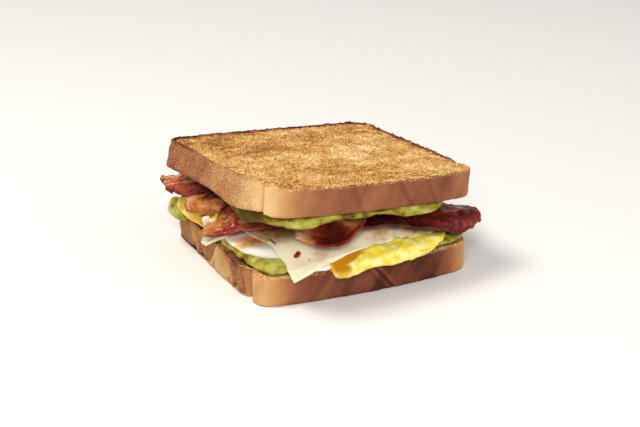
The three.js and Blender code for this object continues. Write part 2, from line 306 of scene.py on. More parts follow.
def crowded(count: int, crowd: float) -> Array:
    """Marks from 0 to 1, count spaces apart, which crowd towards both ends as crowd nears 1."""
    even = np.linspace(0, 1, count + 1)
    return even - crowd * np.sin(math.tau * even) / math.tau


def four_sides(outline: Array) -> list[Array]:
    """An outline cut at its four corners.

    Args:
        outline: A fine closed polyline, whose last point is its first.

    Returns:
        Its south side from west to east, east side from south to north, north side from west
        to east and west side from south to north.
    """
    ring = outline[:-1]
    area = np.sum(ring[:, 0] * np.roll(ring[:, 1], -1) - np.roll(ring[:, 0], -1) * ring[:, 1])
    if area < 0:
        ring = ring[::-1]
    middle = (ring.max(0) + ring.min(0)) / 2
    square = (ring - middle) / (ring.max(0) - ring.min(0))
    corners = [int(np.argmax(square @ np.array(way))) for way in ((-1, -1), (1, -1), (1, 1), (-1, 1))]
    south, east, north, west = (
        np.roll(ring, -start, axis=0)[: (end - start) % len(ring) + 1]
        for start, end in zip(corners, corners[1:] + corners[:1])
    )
    return [south, east, north[::-1], west[::-1]]


def patch(outline: Array, columns: Array, rows: Array) -> Array:
    """A grid that fills an outline, its edge on the outline.

    Args:
        outline: A fine closed polyline, whose last point is its first.
        columns: Marks from west to east, 0 to 1.
        rows: Marks from south to north, 0 to 1.

    Returns:
        The grid's points, a row for each mark of rows.
    """
    south, east, north, west = four_sides(outline)
    south, north = divided(south, columns)[None], divided(north, columns)[None]
    west, east = divided(west, rows)[:, None], divided(east, rows)[:, None]
    u = columns[None, :, None]
    v = rows[:, None, None]
    ruled = (1 - v) * south + v * north + (1 - u) * west + u * east
    corner_part = (1 - u) * (1 - v) * south[:, :1] + u * (1 - v) * south[:, -1:]
    corner_part = corner_part + (1 - u) * v * north[:, :1] + u * v * north[:, -1:]
    return ruled - corner_part


def edge_distance(points: Array, outline: Array) -> Array:
    """How far points lie from an outline.

    Args:
        points: The points, two to a row.
        outline: A fine closed polyline.

    Returns:
        The distance of each point.
    """
    fine = divided(outline, np.linspace(0, 1, EDGE_STEPS + 1))
    parts = np.array_split(points, 40)
    return np.concatenate([np.linalg.norm(part[:, None] - fine[None], axis=2).min(1) for part in parts])


# ---- Skins ----
@dataclass
class Skin:
    """A closed mesh in the making, in millimetres.

    Attributes:
        points: Its points, three to a row.
        faces: Its four-sided faces, as rows of point numbers.
        tones: Named values for the finish, one for each point.
    """

    points: Array
    faces: Array
    tones: dict[str, Array] = field(default_factory=dict)

    def normals(self) -> Array:
        """Works out which way is out of the skin.

        Returns:
            The direction at each point, three numbers to a row.
        """
        corner = [self.points[self.faces[:, i]] for i in range(4)]
        flat = np.cross(corner[2] - corner[0], corner[3] - corner[1])
        out = np.zeros_like(self.points)
        for i, axis in product(range(4), range(3)):
            out[:, axis] += np.bincount(self.faces[:, i], flat[:, axis], len(self.points))
        return out / np.maximum(np.linalg.norm(out, axis=1, keepdims=True), 1e-9)

    def push(self, amount: Array) -> None:
        """Moves each point out along its normal by an amount."""
        self.points = self.points + self.normals() * amount[:, None]

    def turned(self, matrix: Matrix) -> None:
        """Moves and turns the whole skin."""
        place = np.array(matrix)
        self.points = self.points @ place[:3, :3].T + place[:3, 3]


def rim_loop(rows: int, columns: int) -> Array:
    """Point numbers round a grid's edge, counter-clockwise from the south-west corner."""
    number = np.arange(rows * columns).reshape(rows, columns)
    return np.concatenate([number[0, :-1], number[:-1, -1], number[-1, :0:-1], number[:0:-1, 0]])


def grid_faces(number: Array) -> Array:
    """Four-sided faces over a grid of point numbers, facing up where rows run north."""
    corners = (number[:-1, :-1], number[:-1, 1:], number[1:, 1:], number[1:, :-1])
    return np.stack([corner.ravel() for corner in corners], axis=1)


def close_edge(grid: Array) -> Array:
    """Sets a grid's outermost rows and columns to 0, or to False, and gives it back."""
    grid[[0, -1]] = grid[:, [0, -1]] = 0
    return grid


def closed_skin(top: Array, bottom: Array, wall: Sequence[Array] = ()) -> Skin:
    """Joins two grids into one closed skin.

    Args:
        top: The upper grid's points.
        bottom: The lower grid's points, as many. With no wall its edge is the upper one's.
        wall: Rings of points between the two edges, from the top down.

    Returns:
        The skin. Its points are the top grid's, the wall's, and then the bottom grid's.
    """
    rows, columns = top.shape[:2]
    count = rows * columns
    loop = rim_loop(rows, columns)
    points = np.concatenate([top.reshape(-1, 3), *wall, bottom.reshape(-1, 3)])
    upper = np.arange(count)
    lower = upper + count + sum(len(ring) for ring in wall)
    faces = [grid_faces(upper.reshape(rows, columns))]
    if wall:
        rings = (count + i * len(ring) + np.arange(len(ring)) for i, ring in enumerate(wall))
        edges = [loop, *rings, lower[loop]]
        for high, low in zip(edges, edges[1:]):
            faces.append(np.stack([high, low, np.roll(low, -1), np.roll(high, -1)], axis=1))
    else:
        lower[loop] = upper[loop]
    faces.append(grid_faces(lower.reshape(rows, columns))[:, ::-1])
    joined = np.concatenate(faces)
    used = np.unique(joined)
    number = np.full(len(points), -1)
    number[used] = np.arange(len(used))
    return Skin(points[used], number[joined])


@dataclass(frozen=True)
class Rim:
    """How the edge of a flat piece is rounded.

    Attributes:
        reach: How far in from the edge the rounding goes.
        fullness: 0.5 is a half round, and less is squarer.
    """

    reach: float
    fullness: float = 0.5

    def share(self, away: Array) -> Array:
        """The share of its full thickness that the piece has, this far in from its edge."""
        near = 1 - np.clip(away / self.reach, 0, 1)
        return np.clip(1 - near**2, 0, 1) ** self.fullness


@dataclass(frozen=True)
class Layer:
    """A flat soft piece between two height fields over one outline.

    Attributes:
        outline: A fine closed polyline.
        floor: Its lower face.
        top: Its upper face.
        rim: How its edge is rounded.
        spacing: The size of the mesh's squares.
        crowd: How much finer the mesh is along its edge.
    """

    outline: Array
    floor: Height
    top: Height
    rim: Rim
    spacing: float
    crowd: float

    def skin(self) -> Skin:
        """Makes the piece.

        Returns:
            The closed skin, with how far each point lies in from the edge as the tone inset.
        """
        sizes = np.ptp(self.outline, axis=0)
        columns, rows = (crowded(round(size / self.spacing), self.crowd) for size in sizes)
        flat = patch(self.outline, columns, rows)
        x, y = flat[..., 0], flat[..., 1]
        away = edge_distance(flat.reshape(-1, 2), self.outline).reshape(x.shape)
        low, high = self.floor(x, y), self.top(x, y)
        middle = (low + high) / 2
        half = close_edge((high - low) / 2 * self.rim.share(away))
        skin = closed_skin(np.dstack([x, y, middle + half]), np.dstack([x, y, middle - half]))
        skin.tones["inset"] = edge_distance(skin.points[:, :2], self.outline)
        return skin


# ---- Node recipes ----
class Sum(Enum):
    """What is worked out of two values."""

    ADD = "ADD"
    TIMES = "MULTIPLY"
    MOST = "MAXIMUM"


def tint(code: str) -> tuple[float, float, float, float]:
    """A colour for a shader.

    Args:
        code: The colour as #rrggbb, as a screen shows it.

    Returns:
        Red, green, blue and opacity, in the linear scale that shaders use.
    """
    shares = (int(code[i : i + 2], 16) / 255 for i in (1, 3, 5))
    red, green, blue = (s / 12.92 if s <= 0.04045 else ((s + 0.055) / 1.055) ** 2.4 for s in shares)
    return red, green, blue, 1.0


class Recipe:
    """The node tree of one finish, with short calls for the nodes that it uses."""

    def __init__(self, name: str, **settings: float | tuple[float, ...]) -> None:
        """Starts a material.

        Args:
            name: The material's name.
            settings: Values of the shader's own sockets, their names with _ for a space.
        """
        self.material = bpy.data.materials.new(name)
        self.material.use_nodes = True
        self.tree = self.material.node_tree
        self.shader = self.tree.nodes["Principled BSDF"]
        self.place = self.tree.nodes.new("ShaderNodeTexCoord").outputs["Object"]
        for socket, value in settings.items():
            self.shader.inputs[socket.replace("_", " ")].default_value = value

    def node(self, kind: str, inputs: dict[str | int, object], **settings: object) -> bpy.types.Node:
        """Adds a node.

        Args:
            kind: The node's type.
            inputs: A socket to link, or a value or #rrggbb to set, by the input's name or number.
            settings: The node's own properties.

        Returns:
            The node.
        """
        made = self.tree.nodes.new(kind)
        for key, value in settings.items():
            setattr(made, key, value)
        for key, value in inputs.items():
            if isinstance(value, Socket):
                self.tree.links.new(value, made.inputs[key])
            else:
                made.inputs[key].default_value = tint(value) if isinstance(value, str) else value
        return made

    def drive(self, socket: str, source: Socket) -> None:
        """Links a source to one of the shader's own sockets."""
        self.tree.links.new(source, self.shader.inputs[socket])

    def tone(self, name: str) -> Socket:
        """A named value stored in the mesh."""
        return self.node("ShaderNodeAttribute", {}, attribute_name=name).outputs["Fac"]

    def cloud(self, size: float, detail: float) -> Socket:
        """Cloudy noise from 0 to 1, its lumps of a size in mm, with this many finer layers."""
        inputs = {"Vector": self.place, "Scale": 1 / (size * MM), "Detail": detail}
        return self.node("ShaderNodeTexNoise", inputs).outputs["Fac"]

    def dots(self, size: float) -> Socket:
        """The distance to the nearest of many scattered points, in cells of a size in mm."""
        inputs = {"Vector": self.place, "Scale": 1 / (size * MM)}
        return self.node("ShaderNodeTexVoronoi", inputs).outputs["Distance"]

    def span(self, value: Socket, low: float, high: float, to: Range = (0, 1)) -> Socket:
        """Stretches the range from low to high to another, smoothly, and holds it between its ends."""
        inputs = {"Value": value, "From Min": low, "From Max": high, "To Min": to[0], "To Max": to[1]}
        return self.node("ShaderNodeMapRange", inputs, interpolation_type="SMOOTHSTEP").outputs[0]

    def mottle(self, size: float, detail: float, to: Range = (0, 1), low: float = 0.3) -> Socket:
        """Cloudy noise whose middle part, from low to as much under 1, is stretched to a range."""
        return self.span(self.cloud(size, detail), low, 1 - low, to)

    def sums(self, kind: Sum, first: Socket | float, second: Socket | float) -> Socket:
        """Arithmetic on two values."""
        return self.node("ShaderNodeMath", {0: first, 1: second}, operation=kind.value).outputs[0]

    def ramp(self, value: Socket, stops: Stops) -> Socket:
        """Colours along a value.

        Args:
            value: From 0 to 1.
            stops: A place and a colour for each stop, in order.

        Returns:
            The colour.
        """
        made = self.node("ShaderNodeValToRGB", {"Fac": value})
        marks = made.color_ramp.elements
        while len(marks) < len(stops):
            marks.new(0.5)
        for mark, (place, code) in zip(marks, stops):
            mark.position = place
            mark.color = tint(code)
        return made.outputs["Color"]

    def mix(self, share: Socket, below: Socket | str, above: Socket | str) -> Socket:
        """Lays one colour over another, as much as the share from 0 to 1 says."""
        return self.node("ShaderNodeMix", {0: share, 6: below, 7: above}, data_type="RGBA").outputs[2]

    def relief(self, height: Socket, depth: float) -> None:
        """Gives the finish fine relief, a height of 1 being worth a depth in mm."""
        inputs = {"Height": height, "Distance": depth * MM}
        self.drive("Normal", self.node("ShaderNodeBump", inputs).outputs["Normal"])


# ---- Finishes ----
@dataclass(frozen=True)
class ToastFinish:
    """Toasted crumb on the cut faces and a browned crust round them.

    Reads the tones toast, crust, bake and grit.
    """

    crumb: Stops = (
        (0.0, "#f7e6b4"), (0.27, "#e4ba6a"), (0.5, "#cf9647"), (0.74, "#aa6427"), (1.0, "#4e2114"),
    )
    crust: Stops = (
        (0.0, "#e6c386"), (0.25, "#ca9861"), (0.5, "#b1764a"), (0.7, "#935a3c"), (0.88, "#743e2b"),
        (1.0, "#44200f"),
    )
    speckle: str = "#f5e2b0"

    def material(self, name: str) -> Material:
        """Makes the material.

        Args:
            name: Its name.

        Returns:
            The material.
        """
        recipe = Recipe(name, Roughness=0.85, Specular_IOR_Level=0.2)
        toasted = recipe.sums(Sum.ADD, recipe.tone("toast"), recipe.mottle(0.62, 3, (-0.36, 0.4), 0.34))
        open_grain = recipe.span(recipe.cloud(4, 3), 0.42, 0.6)
        pale = recipe.sums(Sum.TIMES, recipe.span(recipe.dots(0.8), 0.12, 0.3, (0.8, 0)), open_grain)
        face = recipe.mix(pale, recipe.ramp(toasted, self.crumb), self.speckle)
        grit = recipe.tone("grit")
        mottle = recipe.sums(Sum.TIMES, recipe.mottle(0.55, 3, (-0.24, 0.24), 0.34), grit)
        side = recipe.ramp(recipe.sums(Sum.ADD, recipe.tone("bake"), mottle), self.crust)
        dusted = recipe.sums(Sum.ADD, recipe.tone("crust"), recipe.mottle(0.5, 2, (-0.34, 0.34), 0.36))
        recipe.drive("Base Color", recipe.mix(recipe.span(dusted, 0.4, 0.6), face, side))
        rough = recipe.sums(Sum.TIMES, recipe.cloud(0.7, 4), recipe.sums(Sum.MOST, grit, 0.22))
        recipe.relief(rough, 1.0)
        return recipe.material


@dataclass(frozen=True)
class MashFinish:
    """Moist avocado mash, pale green in the thick and olive where it is thin, with painted shade where it
    hangs under the upper slice. Reads one tone for both.
    """

    colours: Stops = ((0.0, "#523f12"), (0.3, "#83741f"), (0.62, "#a8a13b"), (1.0, "#c7c763"))
    bruise: str = "#5e421c"

    def material(self, name: str) -> Material:
        """Makes the material.

        Args:
            name: Its name.

        Returns:
            The material.
        """
        recipe = Recipe(
            name, Roughness=0.34, Subsurface_Weight=0.15, Subsurface_Scale=1.2 * MM,
            Subsurface_Radius=(0.9, 1.0, 0.3), Coat_Roughness=0.07,
        )
        lump = recipe.tone("lump")
        flesh = recipe.ramp(recipe.sums(Sum.ADD, lump, recipe.mottle(4.5, 4, (-0.2, 0.2))), self.colours)
        spots = recipe.span(recipe.cloud(1.1, 2), 0.68, 0.78, (0, 0.5))
        recipe.drive("Base Color", recipe.mix(spots, flesh, self.bruise))
        recipe.drive("Coat Weight", recipe.span(lump, 0.25, 0.6, (0.02, 0.4)))
        recipe.drive("Specular IOR Level", recipe.span(lump, 0.25, 0.6, (0.02, 0.12)))
        recipe.relief(recipe.cloud(2.6, 4), 0.22)
        return recipe.material


@dataclass(frozen=True)
class EggFinish:
    """Cooked egg white, seared in places. Reads the tone sear."""

    white: str = "#f6f0e4"
    shade: str = "#efe3cd"
    seared: Stops = ((0.0, "#faeeda"), (0.4, "#f4c590"), (0.75, "#dd9656"), (1.0, "#a8602a"))

    def material(self, name: str) -> Material:
        """Makes the material.

        Args:
            name: Its name.

        Returns:
            The material.
        """
        recipe = Recipe(
            name, Roughness=0.3, Subsurface_Weight=0.45, Subsurface_Scale=2.5 * MM,
            Subsurface_Radius=(1.0, 0.85, 0.6), Coat_Weight=0.3, Coat_Roughness=0.12,
        )
        body = recipe.mix(recipe.mottle(6, 3, low=0.35), self.white, self.shade)
        sear = recipe.tone("sear")
        browned = recipe.ramp(recipe.sums(Sum.ADD, sear, recipe.mottle(2.4, 3, (-0.14, 0.14))), self.seared)
        recipe.drive("Base Color", recipe.mix(recipe.span(sear, 0.03, 0.3), body, browned))
        recipe.relief(recipe.cloud(2.2, 4), 0.12)
        return recipe.material


@dataclass(frozen=True)
class YolkFinish:
    """Soft yolk, deep amber where it runs. Reads the tone runny."""

    set_colours: Stops = ((0.0, "#f6d52e"), (0.5, "#fbe35a"), (1.0, "#fff5b0"))
    runny: str = "#c98500"

    def material(self, name: str) -> Material:
        """Makes the material.

        Args:
            name: Its name.

        Returns:
            The material.
        """
        recipe = Recipe(
            name, Roughness=0.3, Specular_IOR_Level=0.2, Subsurface_Weight=0.2, Subsurface_Scale=1.6 * MM,
            Subsurface_Radius=(1.0, 0.7, 0.08), Coat_Weight=0.25, Coat_Roughness=0.08,
        )
        creamy = recipe.ramp(recipe.mottle(4.5, 5), self.set_colours)
        recipe.drive("Base Color", recipe.mix(recipe.tone("runny"), creamy, self.runny))
        recipe.relief(recipe.cloud(1.4, 3), 0.16)
        return recipe.material


@dataclass(frozen=True)
class CheeseFinish:
    """Pale sliced cheese, warmed to tan where bacon lies on it, the same tan also painting the shadow of
    the bacon. Reads one tone for both.
    """

    pale: str = "#fff5d2"
    deep: str = "#f9e9c1"
    # The tan of warming, also laid on as painted shadow of the bacon.
    warmed_and_shadowed: str = "#c5812f"

    def material(self, name: str) -> Material:
        """Makes the material.

        Args:
            name: Its name.

        Returns:
            The material.
        """
        recipe = Recipe(
            name, Roughness=0.42, Subsurface_Weight=0.15, Subsurface_Scale=1.2 * MM,
            Subsurface_Radius=(1.0, 0.8, 0.4), Coat_Weight=0.1, Coat_Roughness=0.25,
        )
        body = recipe.mix(recipe.mottle(7, 3, low=0.35), self.pale, self.deep)
        warm_and_shadow = recipe.sums(Sum.ADD, recipe.tone("warm_and_shadow"), recipe.mottle(3, 3, (-0.15, 0.15)))
        recipe.drive("Base Color", recipe.mix(recipe.span(warm_and_shadow, 0.1, 1.0), body, self.warmed_and_shadowed))
        recipe.relief(recipe.cloud(1.8, 3), 0.06)
        return recipe.material


@dataclass(frozen=True)
class BaconFinish:
    """Crisp streaky bacon: red lean, tan fat and charred edges, with painted highlights and painted shade
    laid into the same tones. Reads a tone for the lean, one for the fat and one for the dark.
    """

    meat: Stops = ((0.0, "#42100a"), (0.3, "#741b15"), (0.6, "#9b3222"), (1.0, "#c26646"))
    # The pale end of the fat colours also serves painted highlights.
    fat_and_highlight: Stops = ((0.0, "#9c521f"), (0.5, "#bd783a"), (1.0, "#dfae84"))
    # The near-black is charring and also painted shade.
    charred_and_shaded: str = "#280d07"

    def material(self, name: str) -> Material:
        """Makes the material.

        Args:
            name: Its name.

        Returns:
            The material.
        """
        recipe = Recipe(
            name, Roughness=0.3, Specular_IOR_Level=0.08, Subsurface_Weight=0.05, Subsurface_Scale=1.0 * MM,
            Subsurface_Radius=(1.0, 0.35, 0.2), Coat_Weight=0.45, Coat_Roughness=0.06,
        )
        lean = recipe.tone("lean")
        meat = recipe.ramp(recipe.sums(Sum.ADD, lean, recipe.mottle(1.6, 4, (-0.1, 0.1))), self.meat)
        # Bright lean lightens the fat too, which shows the painted highlights and painted light set as lean
        # patches.
        glow = recipe.span(lean, 0.45, 1.0, (0, 0.5))
        fat_and_highlight = recipe.ramp(recipe.sums(Sum.ADD, recipe.mottle(3.1, 5, (0.14, 0.66)), glow), self.fat_and_highlight)
        fatty = recipe.sums(Sum.ADD, recipe.tone("fat_and_highlight"), recipe.mottle(1.0, 4, (-0.14, 0.14)))
        flesh = recipe.mix(recipe.span(fatty, 0.32, 0.68), meat, fat_and_highlight)
        recipe.drive("Base Color", recipe.mix(recipe.tone("char_and_shade"), flesh, self.charred_and_shaded))
        recipe.drive("Roughness", recipe.mottle(2.0, 3, (0.16, 0.4), 0.35))
        recipe.relief(recipe.cloud(1.0, 3), 0.16)
        return recipe.material


@dataclass(frozen=True)
class SpeckFinish:
    """Small dry bits, such as crumbs or pepper flakes."""

    light: str
    dark: str
    roughness: float

    def material(self, name: str) -> Material:
        """Makes the material.

        Args:
            name: Its name.

        Returns:
            The material.
        """
        recipe = Recipe(name, Roughness=self.roughness)
        recipe.drive("Base Color", recipe.mix(recipe.mottle(0.8, 3, low=0.35), self.light, self.dark))
        recipe.relief(recipe.cloud(0.3, 2), 0.05)
        return recipe.material


@dataclass(frozen=True)
class FloorFinish:
    """A plain pale table."""

    colour: str = "#f4f2ee"

    def material(self, name: str) -> Material:
        """Makes the material under a name."""
        return Recipe(name, Roughness=0.7, Base_Color=tint(self.colour)).material


# ---- Laying pieces in the frame ----
class Frame:
    """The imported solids, and where the sandwich's own frame lies in them."""

    def __init__(self) -> None:
        """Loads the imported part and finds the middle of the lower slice."""
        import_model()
        self.cad_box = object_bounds()
        low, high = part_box("bread_lower")
        right = LOWER.right.reach + LOWER.right.flare
        self.origin = Vector((high.x - right * MM, high.y - LOWER.depth / 2 * MM, low.z))

    def put(self, skin: Skin, name: str, material: Material, slot: str, *nodes: str) -> None:
        """Makes a skin into a piece of the sandwich.

        Args:
            skin: The skin, in the sandwich's own frame.
            name: The piece's name.
            material: Its material.
            slot: The material slot of the record that it belongs to. It is not used.
            nodes: The CAD nodes that it stands for.
        """
        mesh = bpy.data.meshes.new(name)
        low, high = (np.array(corner) for corner in self.cad_box)
        places = np.clip(skin.points * MM + np.array(self.origin), low, high)
        mesh.from_pydata(places.tolist(), [], skin.faces.tolist())
        mesh.shade_smooth()
        for key, values in skin.tones.items():
            layer = mesh.attributes.new(key, "FLOAT", "POINT")
            layer.data.foreach_set("value", np.asarray(values, np.float32))
        mesh.materials.append(material)
        piece = bpy.data.objects.new(name, mesh)
        bpy.context.scene.collection.objects.link(piece)
        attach(piece, BODY)
        if nodes:
            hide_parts(*nodes)
        triangles = sum(len(face.vertices) - 2 for face in mesh.polygons)
        log.info("%s: %d triangles, %.1f x %.1f x %.1f mm", name, triangles, *np.ptp(skin.points, axis=0))


# ---- Bread ----
@dataclass(frozen=True)
class Wrinkle:
    """A fold pressed into a crust.

    Attributes:
        at: Where it crosses the middle of the crust, in mm along it from the left fold.
        lean: How far it moves along the crust for each mm of height.
        width: Half its width.
        depth: How deep it is.
    """

    at: float
    lean: float
    width: float
    depth: float


@dataclass(frozen=True)
class Patch:
    """A stretch of crust that is browner or paler than what is beside it.

    Attributes:
        start: Where it starts half way up, in mm along the crust from the left fold.
        start_lean: How far that edge moves along for each mm of height.
        end: Where it ends half way up.
        end_lean: How far that edge moves along for each mm of height.
        bake: How much browner it is.
        raised: How far it stands out.
        blur: How wide its edges are.
    """

    start: float
    start_lean: float
    end: float
    end_lean: float
    bake: float
    raised: float
    blur: float = 0.8

    def share(self, along: Array, height: Array) -> Array:
        """1 inside it, at places along the crust and heights above its middle, and 0 outside."""
        start, end = self.start + self.start_lean * height, self.end + self.end_lean * height
        return ease(along - start, -self.blur, self.blur) * ease(end - along, -self.blur, self.blur)


@dataclass(frozen=True)
class Flank:
    """One side of a slice.

    Attributes:
        reach: How far out its crust lies.
        flare: How much further out it lies at the bottom crust.
        fold: How far out the fold beside the dome is.
        lobe: How far out the dome's shoulder swells.
        corner: The radius where it meets the bottom crust.
    """

    reach: float
    flare: float
    fold: float
    lobe: float
    corner: float


@dataclass(frozen=True)
class Slice:
    """A toasted slice of a domed loaf.

    Attributes:
        left: Its left side.
        right: Its right side.
        depth: From the bottom crust (+Y) to the top of the dome (-Y).
        thick: Its thickness.
        rise: How much higher the dome is than its shoulders.
        seat: Where the middle of its underside is.
        tilt: How it is turned there.
        seed: Makes its crumb its own.
        bake: How brown the crust is, from 0 to 1, at places in mm along it from the left fold.
        wrinkles: The folds in its crust.
        sag: How far its crust droops on the left side.
        patches: Browner or paler stretches of it.
        burns: Scorched places, each as its middle x, y and z, its reach and how much darker.
        crumpled: How deep the flats on its sides are pressed.
        ragged: How deep the notches in the lower edge of its left side are.
        lean: How far the corner at the back left leans in towards its top.
        shoulder: The radius of the dome's two shoulders.
        crease_run: The length of side crust that bends into a fold.
        rounding: The radius where a cut face meets the crust.
        squares: How many squares its faces have each way.
        wall_steps: How many rows of squares its crust has.
    """

    left: Flank
    right: Flank
    depth: float
    thick: float
    rise: float
    seat: Place
    tilt: Place
    seed: int
    bake: Table
    wrinkles: tuple[Wrinkle, ...]
    sag: float = 0.0
    patches: tuple[Patch, ...] = ()
    burns: Table = ()
    crumpled: float = 0.3
    ragged: float = 0.0
    lean: float = 0.0
    shoulder: float = 12.7
    crease_run: float = 9.0
    rounding: float = 0.8
    squares: int = 172
    wall_steps: int = 24

    @property
    def place(self) -> Matrix:
        """Where the slice lies in the sandwich's own frame."""
        return Matrix.Translation(self.seat) @ Euler(self.tilt, "YXZ").to_matrix().to_4x4()

    @property
    def inset(self) -> float:
        """The share of the outline where the rounding of the crust starts."""
        return 1 - 2 * self.rounding / (self.left.reach + self.right.reach)

    def noise(self, points: Array, size: float, layer: int, octaves: int = 2) -> Array:
        """Cloudy noise of this slice's own, another for each layer."""
        return grain(points, size, self.seed + layer, octaves)

    def side(self, flank: Flank) -> Array:
        """The left side's outline.

        Args:
            flank: The side's measures.

        Returns:
            A fine polyline from the middle of the bottom crust to the middle of the dome.
        """
        back = self.depth / 2
        wide = flank.reach + flank.flare
        shoulder = self.rise - back
        fold = shoulder + self.shoulder
        turn = np.linspace(math.pi / 2, math.pi, BEND_STEPS + 1)
        middle = np.array([flank.corner - wide, back - flank.corner])
        arc = middle + flank.corner * np.stack([np.cos(turn), np.sin(turn)], axis=1)
        parts = [np.array([[0.0, back]]), arc, np.array([[-flank.reach, fold + self.crease_run]])]
        for pull, end in (
            ((-flank.reach, fold + self.crease_run / 4), (-flank.fold, fold)),
            ((-flank.lobe, fold - 1), (-flank.lobe, fold - self.shoulder / 3)),
            ((-flank.lobe, shoulder), (self.shoulder - flank.lobe, shoulder - self.rise / 6)),
            ((-flank.lobe / 2, -back), (0.0, -back)),
        ):
            parts.append(bend(parts[-1][-1], np.array(pull), np.array(end)))
        return np.concatenate(parts)

    def outline(self) -> Array:
        """The whole outline as a fine closed polyline, counter-clockwise."""
        ring = np.concatenate([self.side(self.left), self.side(self.right)[-2::-1] * np.array([-1, 1])])
        return divided(ring, np.linspace(0, 1, SLICE_STEPS + 1))

    def profile(self) -> list[tuple[float, float, float]]:
        """The crust's section from the upper face down.

        Returns:
            For each ring, the share of the outline, the height, and how much it faces out.
        """
        inset, radius = self.inset, self.rounding
        turns = np.linspace(0, math.pi / 2, 6)[1:]
        lower = [
            (inset + (1 - inset) * math.sin(a), radius * (1 - math.cos(a)), math.sin(a)) for a in turns
        ]
        upper = [(share, self.thick - drop, out) for share, drop, out in lower]
        heights = np.linspace(radius, self.thick - radius, self.wall_steps)[1:-1]
        return upper + [(1.0, float(z), 1.0) for z in heights[::-1]] + lower[::-1]

    def along(self, ring: Array) -> Array:
        """Measures along the crust.

        Args:
            ring: Points round the slice, two to a row.

        Returns:
            How far along the crust each lies from the left fold, in mm.
        """
        run = run_along(ring)
        whole = run[-1] + np.linalg.norm(ring[0] - ring[-1])
        fold = np.array([-self.left.fold, self.rise - self.depth / 2 + self.shoulder])
        start = run[np.argmin(np.linalg.norm(ring - fold, axis=1))]
        return (run - start + whole / 2) % whole - whole / 2

    def blank(self) -> Skin:
        """Makes the slice flat and smooth.

        Returns:
            The closed skin, with the tones crust, along and inset.
        """
        outline = self.outline()
        marks = np.linspace(0, 1, self.squares + 1)
        flat = patch(outline * self.inset, marks, marks)
        ring = flat.reshape(-1, 2)[rim_loop(*flat.shape[:2])] / self.inset
        rings = self.profile()
        wall = [np.column_stack([ring * share, np.full(len(ring), z)]) for share, z, _ in rings]
        none = np.zeros(flat.shape[:2])
        skin = closed_skin(np.dstack([flat, none + self.thick]), np.dstack([flat, none]), wall)
        for name, values in (
            ("crust", np.repeat([out for *_, out in rings], len(ring))),
            ("along", np.tile(self.along(ring), len(rings))),
        ):
            skin.tones[name] = np.concatenate([none.ravel(), values, none.ravel()])
        skin.tones["inset"] = np.minimum(edge_distance(skin.points[:, :2], outline), 30)
        return skin

    def crumb(self, points: Array) -> tuple[Array, Array]:
        """The relief of a toasted cut face.

        Args:
            points: Where to read it.

        Returns:
            How far the face lies below its plane, in mm, and how open its pores are.
        """
        far, kind = pits(points, 2.9, self.seed)
        near, small = pits(points * np.array([1.0, 0.86, 1.0]), 1.6, self.seed + 7)
        large = np.clip(1 - far / (0.22 + 0.3 * kind), 0, 1)
        fine = np.clip(1 - near / (0.3 + 0.25 * small), 0, 1)
        rough = np.clip(self.noise(points, 1.1, 11), -1, 1)
        swell = np.clip(self.noise(points, 24, 12), -1, 1)
        depth = 0.6 * large**1.2 + 0.35 * fine + 0.14 * (1 + rough) + 0.2 * (1 + swell)
        return depth, np.maximum(large, 0.8 * fine)

    def folds(self, along: Array, height: Array, front: float) -> tuple[Array, Array]:
        """The creases and folds in the crust.

        Args:
            along: Places along the crust.
            height: How high they are above its middle.
            front: How far along the right fold is.

        Returns:
            How far the crust stands out, in mm, and how much painted shade darkens it there, less a painted
            highlight on each fold's lip.
        """
        out, shade = np.zeros((2, len(along)))
        for fold in self.wrinkles:
            off = along - fold.at - fold.lean * height
            groove, lip = bell(off, fold.width), bell(off - 1.6 * fold.width, fold.width)
            out += fold.depth * (0.4 * lip - groove)
            # Painted shade in each groove and a painted highlight on its lip.
            shade += 0.24 * fold.depth * (groove - 0.7 * lip)
        # A narrow crack at each fold beside the dome, with painted shade in it.
        for place in (0.0, front):
            crack = bell(along - place, 0.6)
            out -= 0.9 * crack
            shade += 0.3 * crack
        return out, shade

    def skin(self) -> Skin:
        """Adds crumb, crust and folds to the slice, and lays it in its place.

        Returns:
            The skin with the tones that its finish reads.
        """
        skin = self.blank()
        points = skin.points.copy()
        x, y, z = points.T
        crust, along, inset = (skin.tones[key] for key in ("crust", "along", "inset"))
        dome_top = (crust > 0) & (y < 0) & (np.abs(x) < 0.5)
        front = 2 * float(np.max(np.where(dome_top, along, 0)))
        upper = z > self.thick / 2
        height = z - self.thick / 2
        level = 2 * height / self.thick
        # The cut faces sink a little, with open pores, and the far rim of the upper one is knobbly.
        depth, pore = self.crumb(points)
        sunk = 0.12 + 0.4 * ease(inset, 0.8, 3.5) + 0.22 * (1 + self.noise(points, 1.7, 13)) * (inset < 2.5)
        sunk = sunk + depth * ease(inset, 0.1, 1.0)
        skin.points[:, 2] += np.where(upper, -1, 1) * sunk * (1 - crust) ** 1.5
        far = np.clip(ease(y, 0, 40) + ease(x, 30, 52) * ease(y, -45, -10), 0, 1)
        knobs = np.clip(0.3 + self.noise(points, 1.8, 37), 0, 1.2) * bell(inset - 0.9, 0.9)
        skin.points[:, 2] += np.where(upper, 0.8, 0) * far * knobs
